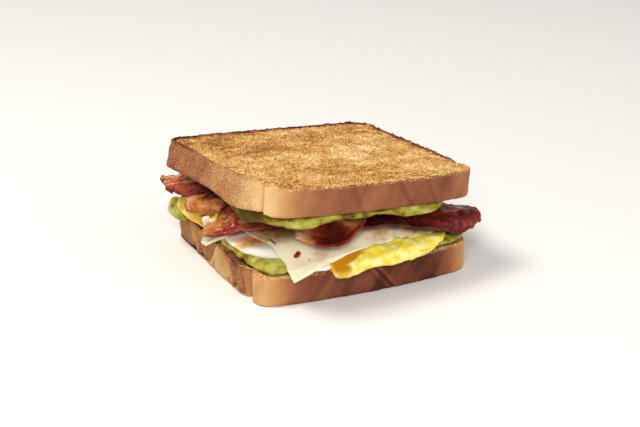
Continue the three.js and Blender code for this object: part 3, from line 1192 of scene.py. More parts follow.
        # The crust bulges a little, with folds and a rough skin.
        sides = 1 - ease(along, -9, -3) * (1 - ease(along, front + 3, front + 9))
        none = np.zeros(len(points))
        faint = self.noise(np.column_stack([along - 0.55 * z, 0.16 * z, none]), 5.5, 24, 3)
        facet = 1 - np.abs(self.noise(np.column_stack([0.75 * along + 0.4 * z, z, none]), 13, 25, 1))
        out, shade = self.folds(along, height, front)
        out = out + 0.35 * self.noise(points, 31, 21) + 0.16 * self.noise(points, 6, 22, 3) - 0.25
        out = out + 0.14 * faint - self.crumpled * sides * facet**3
        out = out + (0.06 + 0.12 * sides) * self.noise(points, 1.2, 23)
        uneven = along - 0.9 * self.noise(points, 5, 27)
        shares = [(stretch, stretch.share(uneven, height)) for stretch in self.patches]
        out = sum((stretch.raised * share for stretch, share in shares), out)
        out = out - 0.22 * level**6 * (1.2 + self.noise(points, 1.8, 26))
        bitten = ease(self.noise(np.column_stack([along, none, none]), 6, 28, 3), -0.25, 0.45)
        bitten = self.ragged * bitten * ease(-level, 0.2, 1.0) * ease(-along, 2, 10) * ease(along, -96, -80)
        out = out - bitten
        away = np.linalg.norm(points[:, :2], axis=1, keepdims=True)
        skin.points[:, :2] += points[:, :2] / np.maximum(away, 1) * (np.minimum(out, 0.1) * crust)[:, None]
        skin.points[:, 2] += 0.4 * bitten * crust
        corner = ease(-x, 25, 55) * ease(y, -10, 45) * z / self.thick
        skin.points[:, 0] += self.lean * corner
        skin.points[:, 1] -= 0.5 * self.lean * corner
        droop = self.sag * bump(x, y, -self.left.reach, -13, 14)
        skin.points[:, 2] -= droop * (1 - z / self.thick)
        # How brown the crust is, with the painted shade of the creases and cracks added.
        bake = np.interp(along, *zip(*self.bake)) + (0.04 + 0.05 * sides) * self.noise(points, 9, 31, 3)
        bake = bake + shade + 0.07 * faint
        bake = bake + 0.12 * self.crumpled * sides * facet**3
        left = ease(-x, 35, 55) * ease(y, -38, -20)
        edge = bell(np.abs(level) - 1, 0.16)
        edge = edge * (0.7 + 0.6 * self.noise(points, 3, 32)) * (0.08 + 0.3 * far + 0.12 * left)
        bake = sum((stretch.bake * share for stretch, share in shares), bake + edge)
        # How toasted the cut faces are, with painted shade in the open pores.
        toast = 0.5 + 0.13 * self.noise(points, 19, 33) + 0.13 * self.noise(points, 4.6, 34, 3)
        toast = toast + 0.1 * self.noise(points * np.array([0.3, 1, 1]), 4, 36)
        # Deeper toast in the open pores is painted shade in them.
        toast = toast + 0.16 * pore + 0.14 * self.noise(points, 1.1, 11)
        rim = bell(inset, 1.6 + 0.7 * far) * (0.9 + 0.5 * self.noise(points, 5, 35))
        toast = toast + 0.48 * rim * (far + 0.45 * left) - 0.1 * bell(inset, 3.5) * (1 - far)
        toast = toast + 0.1 * bump(x, y, -38, 32, 26) + 0.16 * bump(0.36 * x, y, -5.4, 17, 6)
        toast = toast - 0.14 * bump(x, y, 32, -6, 32)
        for *middle, reach, amount in self.burns:
            near = np.exp(-(((points - middle) / reach) ** 2).sum(1))
            scorch = amount * near * (1 + 0.5 * grain(points, 1.5, 5, 2))
            toast, bake = toast + scorch, bake + scorch
        lip = ease(2.2 + 1.2 * self.noise(points, 2.4, 38) - inset, -0.5, 0.5) * ease(far, 0.2, 0.7)
        bake = bake + 0.1 * lip * (1 - crust)
        dust = 0.5 * (1 - far) * bell(1 - level, 0.22)
        browned = np.where(upper, ease(crust, 0.15, 0.6) * (1 - dust), ease(crust, 0.01, 0.2))
        pale = sum(share for stretch, share in shares if stretch.bake < 0)
        skin.tones = {
            "toast": np.clip(toast, 0, 1),
            "crust": np.maximum(browned, 0.9 * lip),
            "bake": np.clip(bake, 0, 1),
            "grit": 0.12 + 0.88 * sides * (1 - 0.5 * pale),
        }
        skin.turned(self.place)
        return skin


LOWER = Slice(
    left=Flank(reach=56, flare=0.5, fold=49.4, lobe=53.6, corner=5.5),
    right=Flank(reach=53, flare=1.8, fold=50.4, lobe=52.4, corner=10),
    depth=102.6, thick=BREAD_THICK, rise=3.3, seat=(0, 0, 0), tilt=(0, 0, 0), seed=11,
    crumpled=0.5, ragged=2.4,
    bake=(
        (-200, 0.7), (-95, 0.45), (-70, 0.39), (-60, 0.46), (-50, 0.45), (-12, 0.5), (-5, 0.42),
        (-1, 0.5), (1.5, 0.14), (14, 0.2), (24, 0.6), (34, 0.8), (60, 0.91), (96, 0.93),
        (106, 0.7), (116, 0.22), (126, 0.28), (160, 0.66), (200, 0.7),
    ),
    wrinkles=(
        Wrinkle(70, -0.85, 1.1, 0.6), Wrinkle(66, -0.85, 1.4, 0.3), Wrinkle(40, 0.7, 1.8, 0.2),
        Wrinkle(-22.8, -0.8, 1.1, 0.9), Wrinkle(-43, 0.8, 1.4, 0.7), Wrinkle(-60, -0.5, 1.6, 0.6),
        Wrinkle(-8, -0.2, 1.0, 0.35),
    ),
    patches=(
        Patch(-88, 0, -43, 0.79, 0.02, -0.9), Patch(-43, 0.79, -22.8, -0.8, -0.3, 0.1, 0.5),
        Patch(-22.8, -0.8, -2, 0, 0.0, -0.8), Patch(-15, -0.6, -5, 0.4, 0.04, -0.5, 3),
        Patch(-70, -0.5, -60, 0.4, -0.14, 0.6, 1.2),
    ),
    burns=(
        (-52.5, -20, 14.2, 3.8, 1.1), (-51.5, -26, 14.0, 3.3, 1.0), (-54.4, -12, 14.3, 2.8, 0.5),
        (-50, -31, 14.3, 2.2, 0.4), (-56.5, 38, 13, 5, 0.2),
    ),
)

UPPER = Slice(
    left=Flank(reach=55.6, flare=1.7, fold=50.7, lobe=54.6, corner=5.5),
    right=Flank(reach=55.1, flare=1.6, fold=52.4, lobe=54.8, corner=10),
    depth=99.2, thick=13.4, rise=3.2, seat=(-5.1, -7, 39), tilt=(-0.041, 0.113, 0.146), seed=47,
    sag=3.0, lean=1.8,
    bake=(
        (-200, 0.7), (-95, 0.64), (-60, 0.56), (-36, 0.42), (-22, 0.28), (-10, 0.14), (-3, 0.12),
        (-0.8, 0.4), (1.5, 0.06), (12, 0.1), (22, 0.45), (34, 0.68), (60, 0.75), (104, 0.75),
        (112, 0.64), (120, 0.4), (134, 0.5), (160, 0.62), (200, 0.7),
    ),
    wrinkles=(
        Wrinkle(52, -0.5, 1.6, 0.25), Wrinkle(78, -0.7, 1.5, 0.3), Wrinkle(93, -0.5, 1.2, 0.25),
        Wrinkle(-50, 0.5, 2.0, 0.3),
    ),
)


# ---- Heights of the layers ----
class Stack:
    """The height fields of the filling, shared by what lies on what.

    Attributes:
        CORNER: The near left corner, where egg and cheese hang over the crust, as x, y and reach.
    """

    CORNER = (-40, -56, 13)

    @staticmethod
    def beyond(x: Array, y: Array) -> Array:
        """How far points lie outside the lower slice, 0 over the bread."""
        over_y = np.maximum(0, np.abs(y) - LOWER.depth / 2 + CRUST_ROUNDING)
        return np.hypot(np.maximum(0, np.abs(x) - CRUST_AT), over_y)

    @classmethod
    def mash_floor(cls, x: Array, y: Array) -> Array:
        """The underside of the mash on the lower slice."""
        return MASH_FLOOR - 0.35 * cls.beyond(x, y) + 2.2 * bump(x, y, -63, 40, 7)

    @classmethod
    def mash_top(cls, x: Array, y: Array) -> Array:
        """The top of that mash, with a lump over the left side at the back."""
        top = cls.mash_floor(x, y) + AVOCADO_THICK * (1 + 0.22 * lumps(x, y, 23, 0.4))
        return hills(x, y, top, (-60.5, 40, 7.5, 6.4), (-42, -42, 12, 1.2))

    @classmethod
    def egg_floor(cls, x: Array, y: Array) -> Array:
        """The underside of the fried egg."""
        sag = hills(x, y, 0.0, (-54, -16, 14, 1.6), (-43, -42, 15, 2.2), (-22, -52, 12, 1.4))
        return EGG_FLOOR - sag - 1.8 * ease(-y, 38, 50) - 0.3 * cls.beyond(x, y)

    @classmethod
    def egg_top(cls, x: Array, y: Array) -> Array:
        """The top of the egg, which slopes down to its left side and its near edge.

        Args:
            x: Across.
            y: Along.

        Returns:
            Its height.
        """
        body = hills(x, y, EGG_FLOOR + EGG_THICK + 0.5 * lumps(x, y, 46, 2.1), (-55, -18, 14, -4))
        body = body - 3.6 * ease(-y, 35, 48)
        body = hills(x, y, body, (-22, -52, 14, -1.8), (42, -44, 20, -3.4), (*cls.CORNER, -2.6))
        return body - 0.5 * cls.beyond(x, y)

    @classmethod
    def cheese_floor(cls, x: Array, y: Array) -> Array:
        """The underside of the cheese slice on the egg."""
        return hills(x, y, cls.egg_top(x, y) + LAY, (*cls.CORNER, -3.4), (-22, -52, 10, -1.2))

    @staticmethod
    def hung_floor(x: Array, y: Array) -> Array:
        """The lower face of the mash under the upper slice, in that slice's frame."""
        humps = ((-41, -42, 14, -3.8), (-52, -19, 13, -5), (20, -50, 14, -2), (2, -10, 26, 1.1))
        return hills(x, y, -GAP - 2.4 - 0.6 * lumps(x, y, 21, 1.2), *humps)

    @staticmethod
    def hung_top(x: Array, y: Array) -> Array:
        """The upper face of that mash, against the bread."""
        return np.full_like(x, 0.1)


# ---- Mash ----
@dataclass(frozen=True)
class Mash:
    """A spread of roughly mashed avocado.

    Attributes:
        corners: The points that its outline goes through.
        floor: Its lower face.
        top: Its upper face.
        seed: Makes its lumps its own.
        ripeness_and_shade: Places riper or greener than the rest, and on the upper spread painted shade
            under the slice,
        each as its middle x and y, its reach and how much paler, less than 0 where it is darker.
        hung: Whether it hangs under the upper slice, in that slice's frame.
        chunk: The size of its lumps.
    """

    corners: Table
    floor: Height
    top: Height
    seed: int
    ripeness_and_shade: Table
    hung: bool = False
    chunk: float = 7.0

    def skin(self) -> Skin:
        """Makes the spread where it lies.

        Returns:
            The skin with one tone for its lumps and its painted shade.
        """
        skin = Layer(smooth_outline(self.corners), self.floor, self.top, Rim(2.6), 0.72, 0.62).skin()
        points = skin.points
        far, kind = pits(points, self.chunk, self.seed)
        small, _ = pits(points, self.chunk * 0.45, self.seed + 5)
        free = ease(skin.tones["inset"], 40, 6)
        dome = (1 - np.clip(far, 0, 1) ** 2) * (0.4 + 0.9 * kind)
        smear = grain(points * np.array([0.6, 1, 1.4]), 5.5, self.seed + 9)
        relief = 0.3 * (dome - 0.55) + 0.1 * (0.6 - small) + 0.55 * smear
        skin.push(relief * (0.35 + 0.65 * free))
        # The spread under the upper slice starts darker: painted shade under the slice.
        lump = (0.43 if self.hung else 0.5) + 0.2 * (dome - 0.5) + 0.26 * smear
        lump = lump - 0.15 * np.clip(small - 0.5, 0, 1)
        lump = hills(points[:, 0], points[:, 1], lump, *self.ripeness_and_shade)
        skin.tones["lump"] = np.clip(lump, 0, 1)
        if self.hung:
            # It is darker still where it hangs lowest, more painted shade under the slice.
            skin.tones["lump"] = np.clip(skin.tones["lump"] - 0.3 * ease(-points[:, 2], 4, 7), 0, 1)
            skin.turned(UPPER.place)
        else:
            self.press(skin)
        return skin

    @staticmethod
    def press(skin: Skin) -> None:
        """Flattens the spread under the egg and the cheese that lie on it.

        Args:
            skin: The spread's skin.
        """
        x, y, z = skin.points.T
        egg = (skin.tones["inset"] > 3) & (x > -41)
        cheese = np.minimum(*Cheese().inner(x, y)) > 0.3
        lid = np.where(egg, Stack.egg_floor(x, y), 99)
        lid = np.minimum(lid, np.where(cheese, Stack.cheese_floor(x, y), 99)) - 0.25
        skin.points[:, 2] = np.minimum(z, np.maximum(lid, MASH_FLOOR - 0.3))


LOWER_MASH = Mash(
    corners=(
        (-38, 46), (-54, 49), (-63, 43), (-62, 34), (-55, 26), (-52.5, 8), (-54, -8), (-53.4, -22),
        (-52, -35), (-46, -46), (-34, -48), (-10, -44), (15, -46), (34, -49.4), (49.8, -43.6),
        (51, -25), (50, 0), (52, 22), (48, 42), (30, 46), (8, 44), (-18, 47),
    ),
    floor=Stack.mash_floor,
    top=Stack.mash_top,
    seed=101,
    ripeness_and_shade=((46, -38, 14, -0.12), (-50, -28, 9, -0.1), (-63, 42, 9, 0.4), (-55, 32, 5, -0.35)),
)

UPPER_MASH = Mash(
    corners=(
        (-36, 38), (-48, 26), (-51, 6), (-53.5, -8), (-54, -22), (-50, -36), (-40, -45.5),
        (-26, -48.5), (-4, -49.5), (18, -50), (33, -48), (41, -39), (44, -18), (45, 10),
        (42, 32), (20, 42), (-10, 42),
    ),
    floor=Stack.hung_floor,
    top=Stack.hung_top,
    seed=151,
    # The darker places here are painted shade under the upper slice.
    ripeness_and_shade=(
        (-53, -8, 19, -0.4), (-52, -30, 10, -0.25), (-12, -49, 14, -0.2), (6, -49, 10, -0.1),
        (30, -46, 14, 0.06),
    ),
    hung=True,
)


# ---- Egg ----
@dataclass(frozen=True)
class FriedEgg:
    """A fried egg whose yolk has broken: its white, and the yolk run out at two sides.

    Attributes:
        white: The points that the white's outline goes through.
        front: The same for the yolk over the near edge.
        left: The same for the yolk over the left side.
    """

    white: Table = (
        (-51, 4), (-53.5, -8), (-53.2, -19), (-50.8, -29), (-45, -38.5), (-37.5, -46.5),
        (-28, -51.5), (-19, -51.5), (-14, -46), (-2, -45), (14, -44), (30, -42), (42, -34),
        (47, -12), (47, 6), (44, 26), (33, 42), (10, 47), (-18, 44), (-40, 41), (-52, 36),
        (-56, 25), (-54, 13),
    )
    front: Table = (
        (-24.5, -49.3), (-21.2, -51.6), (-20.4, -54.8), (-17, -55.7), (-10, -55.4), (0, -54.9),
        (13, -54.2), (25, -53), (36, -48.8), (40.5, -43), (34, -40), (20, -41), (4, -42), (-14, -45.5),
    )
    left: Table = ((-54, 38), (-60, 37), (-62, 27), (-61, 13), (-58.5, 1), (-54, -1), (-49, 10), (-48, 28))

    def white_skin(self) -> Skin:
        """Makes the white.

        Returns:
            The skin with the tone sear.
        """
        outline = smooth_outline(self.white)
        skin = Layer(outline, Stack.egg_floor, Stack.egg_top, Rim(3.2), spacing=0.85, crowd=0.6).skin()
        points = skin.points
        skin.push(0.28 * grain(points, 9, 201, 2) + 0.1 * grain(points, 2.6, 202))
        x, y, z = points.T
        sear = hills(x, y, 0.0, (-47.5, -19.5, 6, 0.7), (-42, -24, 5, 0.6))
        sear = sear + 0.35 * ease(grain(points, 14, 203, 2), 0.15, 0.7) * ease(z, 21, 24)
        # A thin crease beside the cheese.
        down = np.clip((-26.3 - y) / 9.2, 0, 1)
        crease = np.exp(-(((x + 41.6 - 0.4 * down) / 0.42) ** 2) - (((-26.3 - y) / 9.2 - down) * 9) ** 2)
        skin.points[:, 2] -= 0.35 * crease
        skin.tones["sear"] = np.clip(sear + 0.75 * crease, 0, 1)
        return skin

    @staticmethod
    def front_floor(x: Array, y: Array) -> Array:
        """The underside of the yolk over the near edge."""
        return MASH_FLOOR + 2.6 - 0.95 * Stack.beyond(x, y)

    @staticmethod
    def front_top(x: Array, y: Array) -> Array:
        """The top of the yolk over the near edge, with a dip between its two lobes.

        Args:
            x: Across.
            y: Along.

        Returns:
            Its height.
        """
        film = ease(-x, 6, 14)
        crown = 4.3 + 2.2 * bump(x, y, 10, -46, 22) + 0.5 * (1 - film) * lumps(x, y, 13, 1) - 0.5 * film
        slope = (0.6 + 0.22 * film) * Stack.beyond(x, y)
        return MASH_FLOOR + crown - slope - 1.1 * bump(x, y, 8, -47, 4.5)

    @staticmethod
    def left_floor(x: Array, y: Array) -> Array:
        """The underside of the yolk over the left side."""
        return Stack.egg_top(x, y) + LAY - 0.1 * Stack.beyond(x, y)

    @classmethod
    def left_top(cls, x: Array, y: Array) -> Array:
        """The top of the yolk over the left side."""
        return cls.left_floor(x, y) + 3.4 + 0.5 * lumps(x, y, 12, 2)

    def front_skin(self) -> Skin:
        """Makes the yolk over the near edge.

        Returns:
            The skin with the tone runny.
        """
        outline = smooth_outline(self.front)
        skin = Layer(outline, self.front_floor, self.front_top, Rim(1.5, 0.42), 0.32, 0.55).skin()
        points = skin.points
        x, y, _ = points.T
        ragged = grain(points * np.array([0.35, 1, 1]), 3, 212)
        runny = ease(-x + 3.4 * ragged + 3.2 * np.clip(y + 52, 0, 4), 9.5, 14.5)
        runny = runny * (1 - 0.55 * bell(skin.tones["inset"], 0.9))
        ridge = 1 - 2 * np.abs(grain(points * np.array([0.4, 1, 1]), 9, 211, 2))
        far, kind = pits(points, 5.5, 214)
        chunk = 0.9 * kind - 0.7 * np.clip(far, 0, 1) ** 2
        relief = 0.55 * ridge + 0.75 * chunk + 0.1 * grain(points, 2.4, 213, 2)
        skin.push(relief * (1 - 0.9 * np.clip(runny, 0, 1)))
        skin.tones["runny"] = np.clip(runny, 0, 1)
        return skin

    def left_skin(self) -> Skin:
        """Makes the yolk over the left side.

        Returns:
            The skin with the tone runny.
        """
        outline = smooth_outline(self.left)
        skin = Layer(outline, self.left_floor, self.left_top, Rim(2.2), spacing=0.35, crowd=0.5).skin()
        points = skin.points
        skin.push(0.4 * grain(points * np.array([1, 0.5, 1]), 4, 221, 4))
        runny = 0.1 + 0.6 * ease(-points[:, 1], -31, -14) + 0.4 * grain(points, 7, 222)
        skin.tones["runny"] = np.clip(runny, 0, 1)
        return skin


# ---- Cheese ----
@dataclass(frozen=True)
class Cheese:
    """The cheese slice on the egg, and a torn piece of one under it.

    Attributes:
        corner: The near left corner of the slice.
        side: The slice's side.
        turn: How far it is turned, in degrees.
        torn: The corners of the torn piece.
    """

    corner: Range = (-40, -53.5)
    side: float = 83
    turn: float = 8
    torn: Table = ((-60.4, 6), (-60.2, 0.6), (-41, -18), (-22, 3), (-42, 20))

    def square(self) -> Array:
        """Draws the slice.

        Returns:
            Its outline as a fine closed polyline.
        """
        angle = math.radians(self.turn)
        along = self.side * np.array([math.cos(angle), math.sin(angle)])
        across = np.array([-along[1], along[0]])
        start = np.array(self.corner)
        corners = (start, start + along, start + along + across, start + across)
        return cut_outline([tuple(corner) for corner in corners])

    def inner(self, x: Array, y: Array) -> tuple[Array, Array]:
        """Measures in from the slice's sides.

        Args:
            x: Across.
            y: Along.

        Returns:
            How far points lie from the slice's left side, and how far from its near side.
        """
        angle = math.radians(self.turn)
        u, w = x - self.corner[0], y - self.corner[1]
        return u * math.cos(angle) + w * math.sin(angle), w * math.cos(angle) - u * math.sin(angle)

    def slice_top(self, x: Array, y: Array) -> Array:
        """The slice's upper face, which thins out at its left side and along its near edge.

        Args:
            x: Across.
            y: Along.

        Returns:
            Its height.
        """
        along, across = self.inner(x, y)
        thin = np.maximum(np.exp(-np.abs(along) / 3), np.exp(-np.abs(across) / 3) * ease(along, 6, 20))
        return Stack.cheese_floor(x, y) + CHEESE_THICK - CHEESE_THINNING * thin

    def slice_skin(self) -> Skin:
        """Makes the slice on the egg.

        Returns:
            The skin with one tone for the warming and the painted shadow.
        """
        layer = Layer(self.square(), Stack.cheese_floor, self.slice_top, Rim(0.55, 0.4), 0.75, 0.8)
        skin = layer.skin()
        points = skin.points
        skin.points[:, 2] += 0.22 * grain(points * np.array([1, 1, 0.0]), 13, 301, 2)
        x, y, _ = points.T
        # Tan near the bacon and towards the back: partly warming, partly painted shadow of the bacon.
        places = ((-23, -45, 6, 0.5), (-38, -27, 9, 0.4), (7, -41, 8, 0.5), (25, -41, 9, 0.7))
        warm_and_shadow = hills(x, y, 0.0, *places) + 0.4 * ease(y, -40, -28)
        skin.tones["warm_and_shadow"] = np.clip(warm_and_shadow + 0.12 * grain(points, 6, 302), 0, 1)
        return skin

    @staticmethod
    def torn_floor(x: Array, y: Array) -> Array:
        """The underside of the torn piece, which droops over the left side."""
        return Stack.mash_top(x, y) + LAY - 0.13 * np.maximum(0, -51 - x) ** 1.5

    @classmethod
    def torn_top(cls, x: Array, y: Array) -> Array:
        """The upper face of the torn piece."""
        return cls.torn_floor(x, y) + TORN_CHEESE_THICK

    def torn_skin(self) -> Skin:
        """Makes the torn piece under the egg.

        Returns:
            The skin with the cheese's tan tone, faint and random here.
        """
        layer = Layer(cut_outline(self.torn), self.torn_floor, self.torn_top, Rim(0.5, 0.4), 0.5, 0.7)
        skin = layer.skin()
        points = skin.points
        skin.push(0.08 * grain(points, 2.5, 311))
        skin.tones["warm_and_shadow"] = np.clip(0.05 + 0.1 * grain(points, 5, 312, 2), 0, 1)
        return skin


# ---- Bacon ----
@dataclass(frozen=True)
class Spot:
    """A patch on a rasher.

    Attributes:
        t: Where it is along the rasher, 0 to 1.
        v: Where it is across, -1 at its right edge and 1 at its left.
        long: How far it reaches along.
        wide: How far it reaches across.
        amount: How strong it is, less than 0 to take away.
    """

    t: float
    v: float
    long: float
    wide: float
    amount: float

    def read(self, t: Array, v: Array) -> Array:
        """Its strength at places along and across."""
        return self.amount * np.exp(-(((t - self.t) / self.long) ** 2) - ((v - self.v) / self.wide) ** 2)


@dataclass(frozen=True)
class Rasher:
    """A crisp rasher of streaky bacon: a wavy ribbon along a curve.

    Attributes:
        node: The CAD node that it stands for.
        seed: Makes its grain its own.
        stops: For each stop x, y, z, half width, roll and fold, the angles in degrees.
        fat_and_highlight: Patches of fat, or of lean where the amount is less than 0. Some small pale ones
            are painted highlights.
        char_and_shade: Dark patches: charring, and painted shade where the rasher runs into shadow.
        lean: Brighter red patches, or darker where the amount is less than 0. Some are painted highlights
            and some painted shade.
        swells: Places that stand up by an amount in mm, or sink where it is less than 0.
        streaks: Where its bands of fat run, as (place across, half width).
        ruffle: How deep its waves are.
        wave: How long they are.
        phase: Where they start.
        cup: How much its section is curved, in degrees.
        fold_at: Where across its fold starts.
        bubbly: How strongly its fat has bubbled up.
        spacing: The size of its mesh's squares.
        round_edge: How far in from its edges it is rounded.
    """

    node: str
    seed: int
    stops: Table
    fat_and_highlight: tuple[Spot, ...]
    char_and_shade: tuple[Spot, ...]
    lean: tuple[Spot, ...]
    swells: tuple[Spot, ...] = ()
    streaks: Table = ()
    ruffle: float = 1.0
    wave: float = 22.0
    phase: float = 0.0
    cup: float = 0.0
    fold_at: float = 0.2
    bubbly: float = 1.0
    spacing: float = 0.42
    round_edge: float = 1.1

    def noise(self, points: Array, size: float, layer: int, octaves: int = 3) -> Array:
        """Cloudy noise of this rasher's own, another for each layer."""
        return grain(points, size, self.seed + layer, octaves)

    def columns(self, t: Array) -> Array:
        """Reads the table of stops.

        Args:
            t: Places along the rasher, 0 to 1.

        Returns:
            Half width, roll and fold at each, three to a row.
        """
        table = np.array([(*stop, 0.0)[:6] for stop in self.stops], float)
        marks = np.linspace(0, 1, len(table))
        return np.stack([np.interp(t, marks, table[:, i]) for i in (3, 4, 5)], axis=1)

    def skin(self) -> Skin:
        """Makes the rasher.

        Returns:
            The skin with the tones of its lean, its fat and its dark patches, painted highlights and
            painted shade among them.
        """
        stops = np.array([stop[:3] for stop in self.stops], float)
        fine = spline(stops, np.linspace(0, 1, 600), closed=False)
        length = float(np.linalg.norm(np.diff(fine, axis=0), axis=1).sum())
        rows = crowded(round(length / self.spacing), 0.35)
        half, roll, fold = self.columns(rows).T
        columns = 2 * crowded(round(2 * half.max() / self.spacing), 0.45) - 1
        grid_t, grid_v = np.meshgrid(rows, columns, indexing="ij")
        side, up, centre = self.ribs(stops, rows, roll)
        # The edges wander, and so do the ends.
        run = rows * length
        taper = 1 - 0.2 * np.abs(2 * rows - 1) ** 10
        edge_left, edge_right = (
            half * taper * (1 + 0.07 * self.noise(np.column_stack([run, run * 0 + shift, run * 0]), 6, 0))
            for shift in (0, 50)
        )
        reach = np.where(grid_v > 0, edge_left[:, None], edge_right[:, None])
        # Its section is curved, and folded over at its right edge.
        slope = np.radians(self.cup * grid_v + fold[:, None] * ease(-grid_v, self.fold_at, 1.1))
        step_v = np.diff(columns, prepend=columns[0])[None]
        zero = int(np.argmin(np.abs(columns)))
        mid_slope = (slope + np.roll(slope, 1, axis=1)) / 2
        runs = (np.cumsum(reach * part(mid_slope) * step_v, axis=1) for part in (np.cos, np.sin))
        across, lift = (run - run[:, zero : zero + 1] for run in runs)
        # Its edges are ruffled in long waves and short ones.
        turn = math.tau * grid_t * length / self.wave + self.phase
        ripple = self.ruffle * (grid_v * np.sin(turn) + 0.4 * grid_v**2 * np.sin(0.5 * turn + 1))
        quick = math.tau * grid_t * length / (0.31 * self.wave) + 2 * self.phase
        ripple = ripple + 0.3 * self.ruffle * np.sign(grid_v) * grid_v**4 * np.sin(quick + 2 * grid_v)
        ripple = sum((spot.read(grid_t, grid_v) for spot in self.swells), ripple)
        # It is thicker in the fat, and rounded off along its edges.
        flat = np.column_stack([(grid_t * length).ravel(), (grid_v * 11).ravel(), np.zeros(grid_t.size)])
        soft = self.noise(flat, 5, 1).reshape(grid_t.shape)
        band = self.fatness(grid_t, grid_v, flat)
        thick = BACON_THICK / 2 * (0.82 + 0.25 * soft + 0.25 * (band - 0.5))
        rim_v = np.clip((1 - np.abs(grid_v)) * reach / self.round_edge, 0, 1)
        rim_t = np.clip(np.minimum(grid_t, 1 - grid_t) * length / self.round_edge, 0, 1)
        thick = thick * np.sqrt(np.clip(1 - (1 - rim_v) ** 2, 0, 1) * np.clip(1 - (1 - rim_t) ** 2, 0, 1))
        ragged = 0.5 * self.noise(flat * np.array([0, 1, 0]), 3, 2).reshape(grid_t.shape)
        ends = ragged * (np.exp(-grid_t * length / 3) - np.exp(-(1 - grid_t) * length / 3))
        along = np.cross(side, up)
        sheet = centre[:, None] + side[:, None] * across[..., None]
        sheet = sheet + up[:, None] * (lift + ripple)[..., None] - along[:, None] * ends[..., None]
        tip = np.cos(slope)[..., None] * up[:, None] - np.sin(slope)[..., None] * side[:, None]
        skin = closed_skin(sheet + tip * thick[..., None], sheet - tip * thick[..., None])
        if self.faces_in(skin):
            skin.faces = skin.faces[:, ::-1]
        self.dress(skin, flat, grid_t, grid_v, band, length)
        return skin

    @staticmethod
    def faces_in(skin: Skin) -> bool:
        """Looks at which way a skin's faces point.

        Args:
            skin: A closed skin.

        Returns:
            Whether it is inside out.
        """
        a, b, c, d = (skin.points[skin.faces[:, i]] for i in range(4))
        volume = np.einsum("ij,ij->i", a, np.cross(b, c)) + np.einsum("ij,ij->i", a, np.cross(c, d))
        return float(volume.sum()) < 0

    @staticmethod
    def ribs(stops: Array, rows: Array, roll: Array) -> tuple[Array, Array, Array]:
        """The rasher's frame at places along it.

        Args:
            stops: The points that its middle goes through.
            rows: The places, 0 to 1.
            roll: How far it is rolled at each, in degrees.

        Returns:
            At each place the direction across to the left, the direction up, and the middle.
        """
        ahead, behind = (spline(stops, np.clip(rows + step, 0, 1), False) for step in (1e-3, -1e-3))
        run = ahead - behind
        run /= np.linalg.norm(run, axis=1, keepdims=True)
        level = np.cross(np.array([0.0, 0, 1]), run)
        level /= np.linalg.norm(level, axis=1, keepdims=True)
        angle = np.radians(roll)[:, None]
        side = level * np.cos(angle) + np.cross(run, level) * np.sin(angle)
        return side, np.cross(run, side), spline(stops, rows, False)

    def fatness(self, t: Array, v: Array, flat: Array) -> Array:
        """How fatty the meat is.

        Args:
            t: Places along.
            v: Places across.
            flat: The same places on the flat rasher in mm, three to a row.

        Returns:
            0 in the lean to 1 in the fat.
        """
        long = flat * np.array([0.22, 1, 1])
        drift = 0.16 * self.noise(long, 9, 4).reshape(t.shape)
        value = np.zeros_like(t)
        for middle, wide in self.streaks:
            value = np.maximum(value, bell(v - middle + drift, wide))
        value = sum((spot.read(t, v) for spot in self.fat_and_highlight), value)
        return np.clip(value + 0.22 * self.noise(long, 3, 5).reshape(t.shape), 0, 1)

    def dress(self, skin: Skin, flat: Array, t: Array, v: Array, band: Array, length: float) -> None:
        """Adds bubbles and the tones of the finish.

        Args:
            skin: The rasher's skin.
            flat: Its places on the flat rasher in mm, three to a row.
            t: Places along, as a grid.
            v: Places across it.
            band: How fatty it is there.
            length: The rasher's length.
        """
        inner = close_edge(np.ones(t.shape, bool))

        def both(values: Array) -> Array:
            """Values of the grid, for the points of the upper and then the lower face."""
            return np.concatenate([values.ravel(), values[inner]])

        edge, fatty = both(np.abs(v)), both(band)
        far, kind = pits(skin.points, 1.9, self.seed + 6)
        bubbles = np.clip(1 - far / 0.6, 0, 1) ** 0.7 * (0.3 + 0.7 * kind)
        blister = ease(self.noise(skin.points, 8, 7, 2), 0.0, 0.5) * (0.25 + 0.75 * fatty)
        wrinkle = self.noise(skin.points, 3.2, 8)
        skin.push((0.34 * self.bubbly * blister + 0.3 * ease(edge, 0.7, 0.95)) * bubbles + 0.13 * wrinkle)
        # The dark patches are charring and painted shade; charring is also added along the edges and at the
        # ends.
        char_and_shade = sum((spot.read(t, v) for spot in self.char_and_shade), np.zeros_like(t))
        crisp = 0.5 * ease(edge, 0.78, 1.0) * (0.6 + 0.8 * self.noise(skin.points, 6, 9, 2))
        ends = 0.35 * both(np.exp(-np.minimum(t, 1 - t) * length / 2.5))
        fibre = self.noise(flat * np.array([0.16, 1, 1]), 1.5, 10).reshape(t.shape)
        patchy = self.noise(flat * np.array([0.5, 1, 1]), 7, 11, 2).reshape(t.shape)
        red = sum((spot.read(t, v) for spot in self.lean), 0.4 + 0.22 * fibre + 0.18 * patchy)
        skin.tones["lean"] = np.clip(both(red), 0, 1)
        skin.tones["fat_and_highlight"] = np.clip(fatty + 0.15 * bubbles * blister, 0, 1)
        skin.tones["char_and_shade"] = np.clip(both(char_and_shade) + crisp + ends - 0.1 * fatty, 0, 0.9)


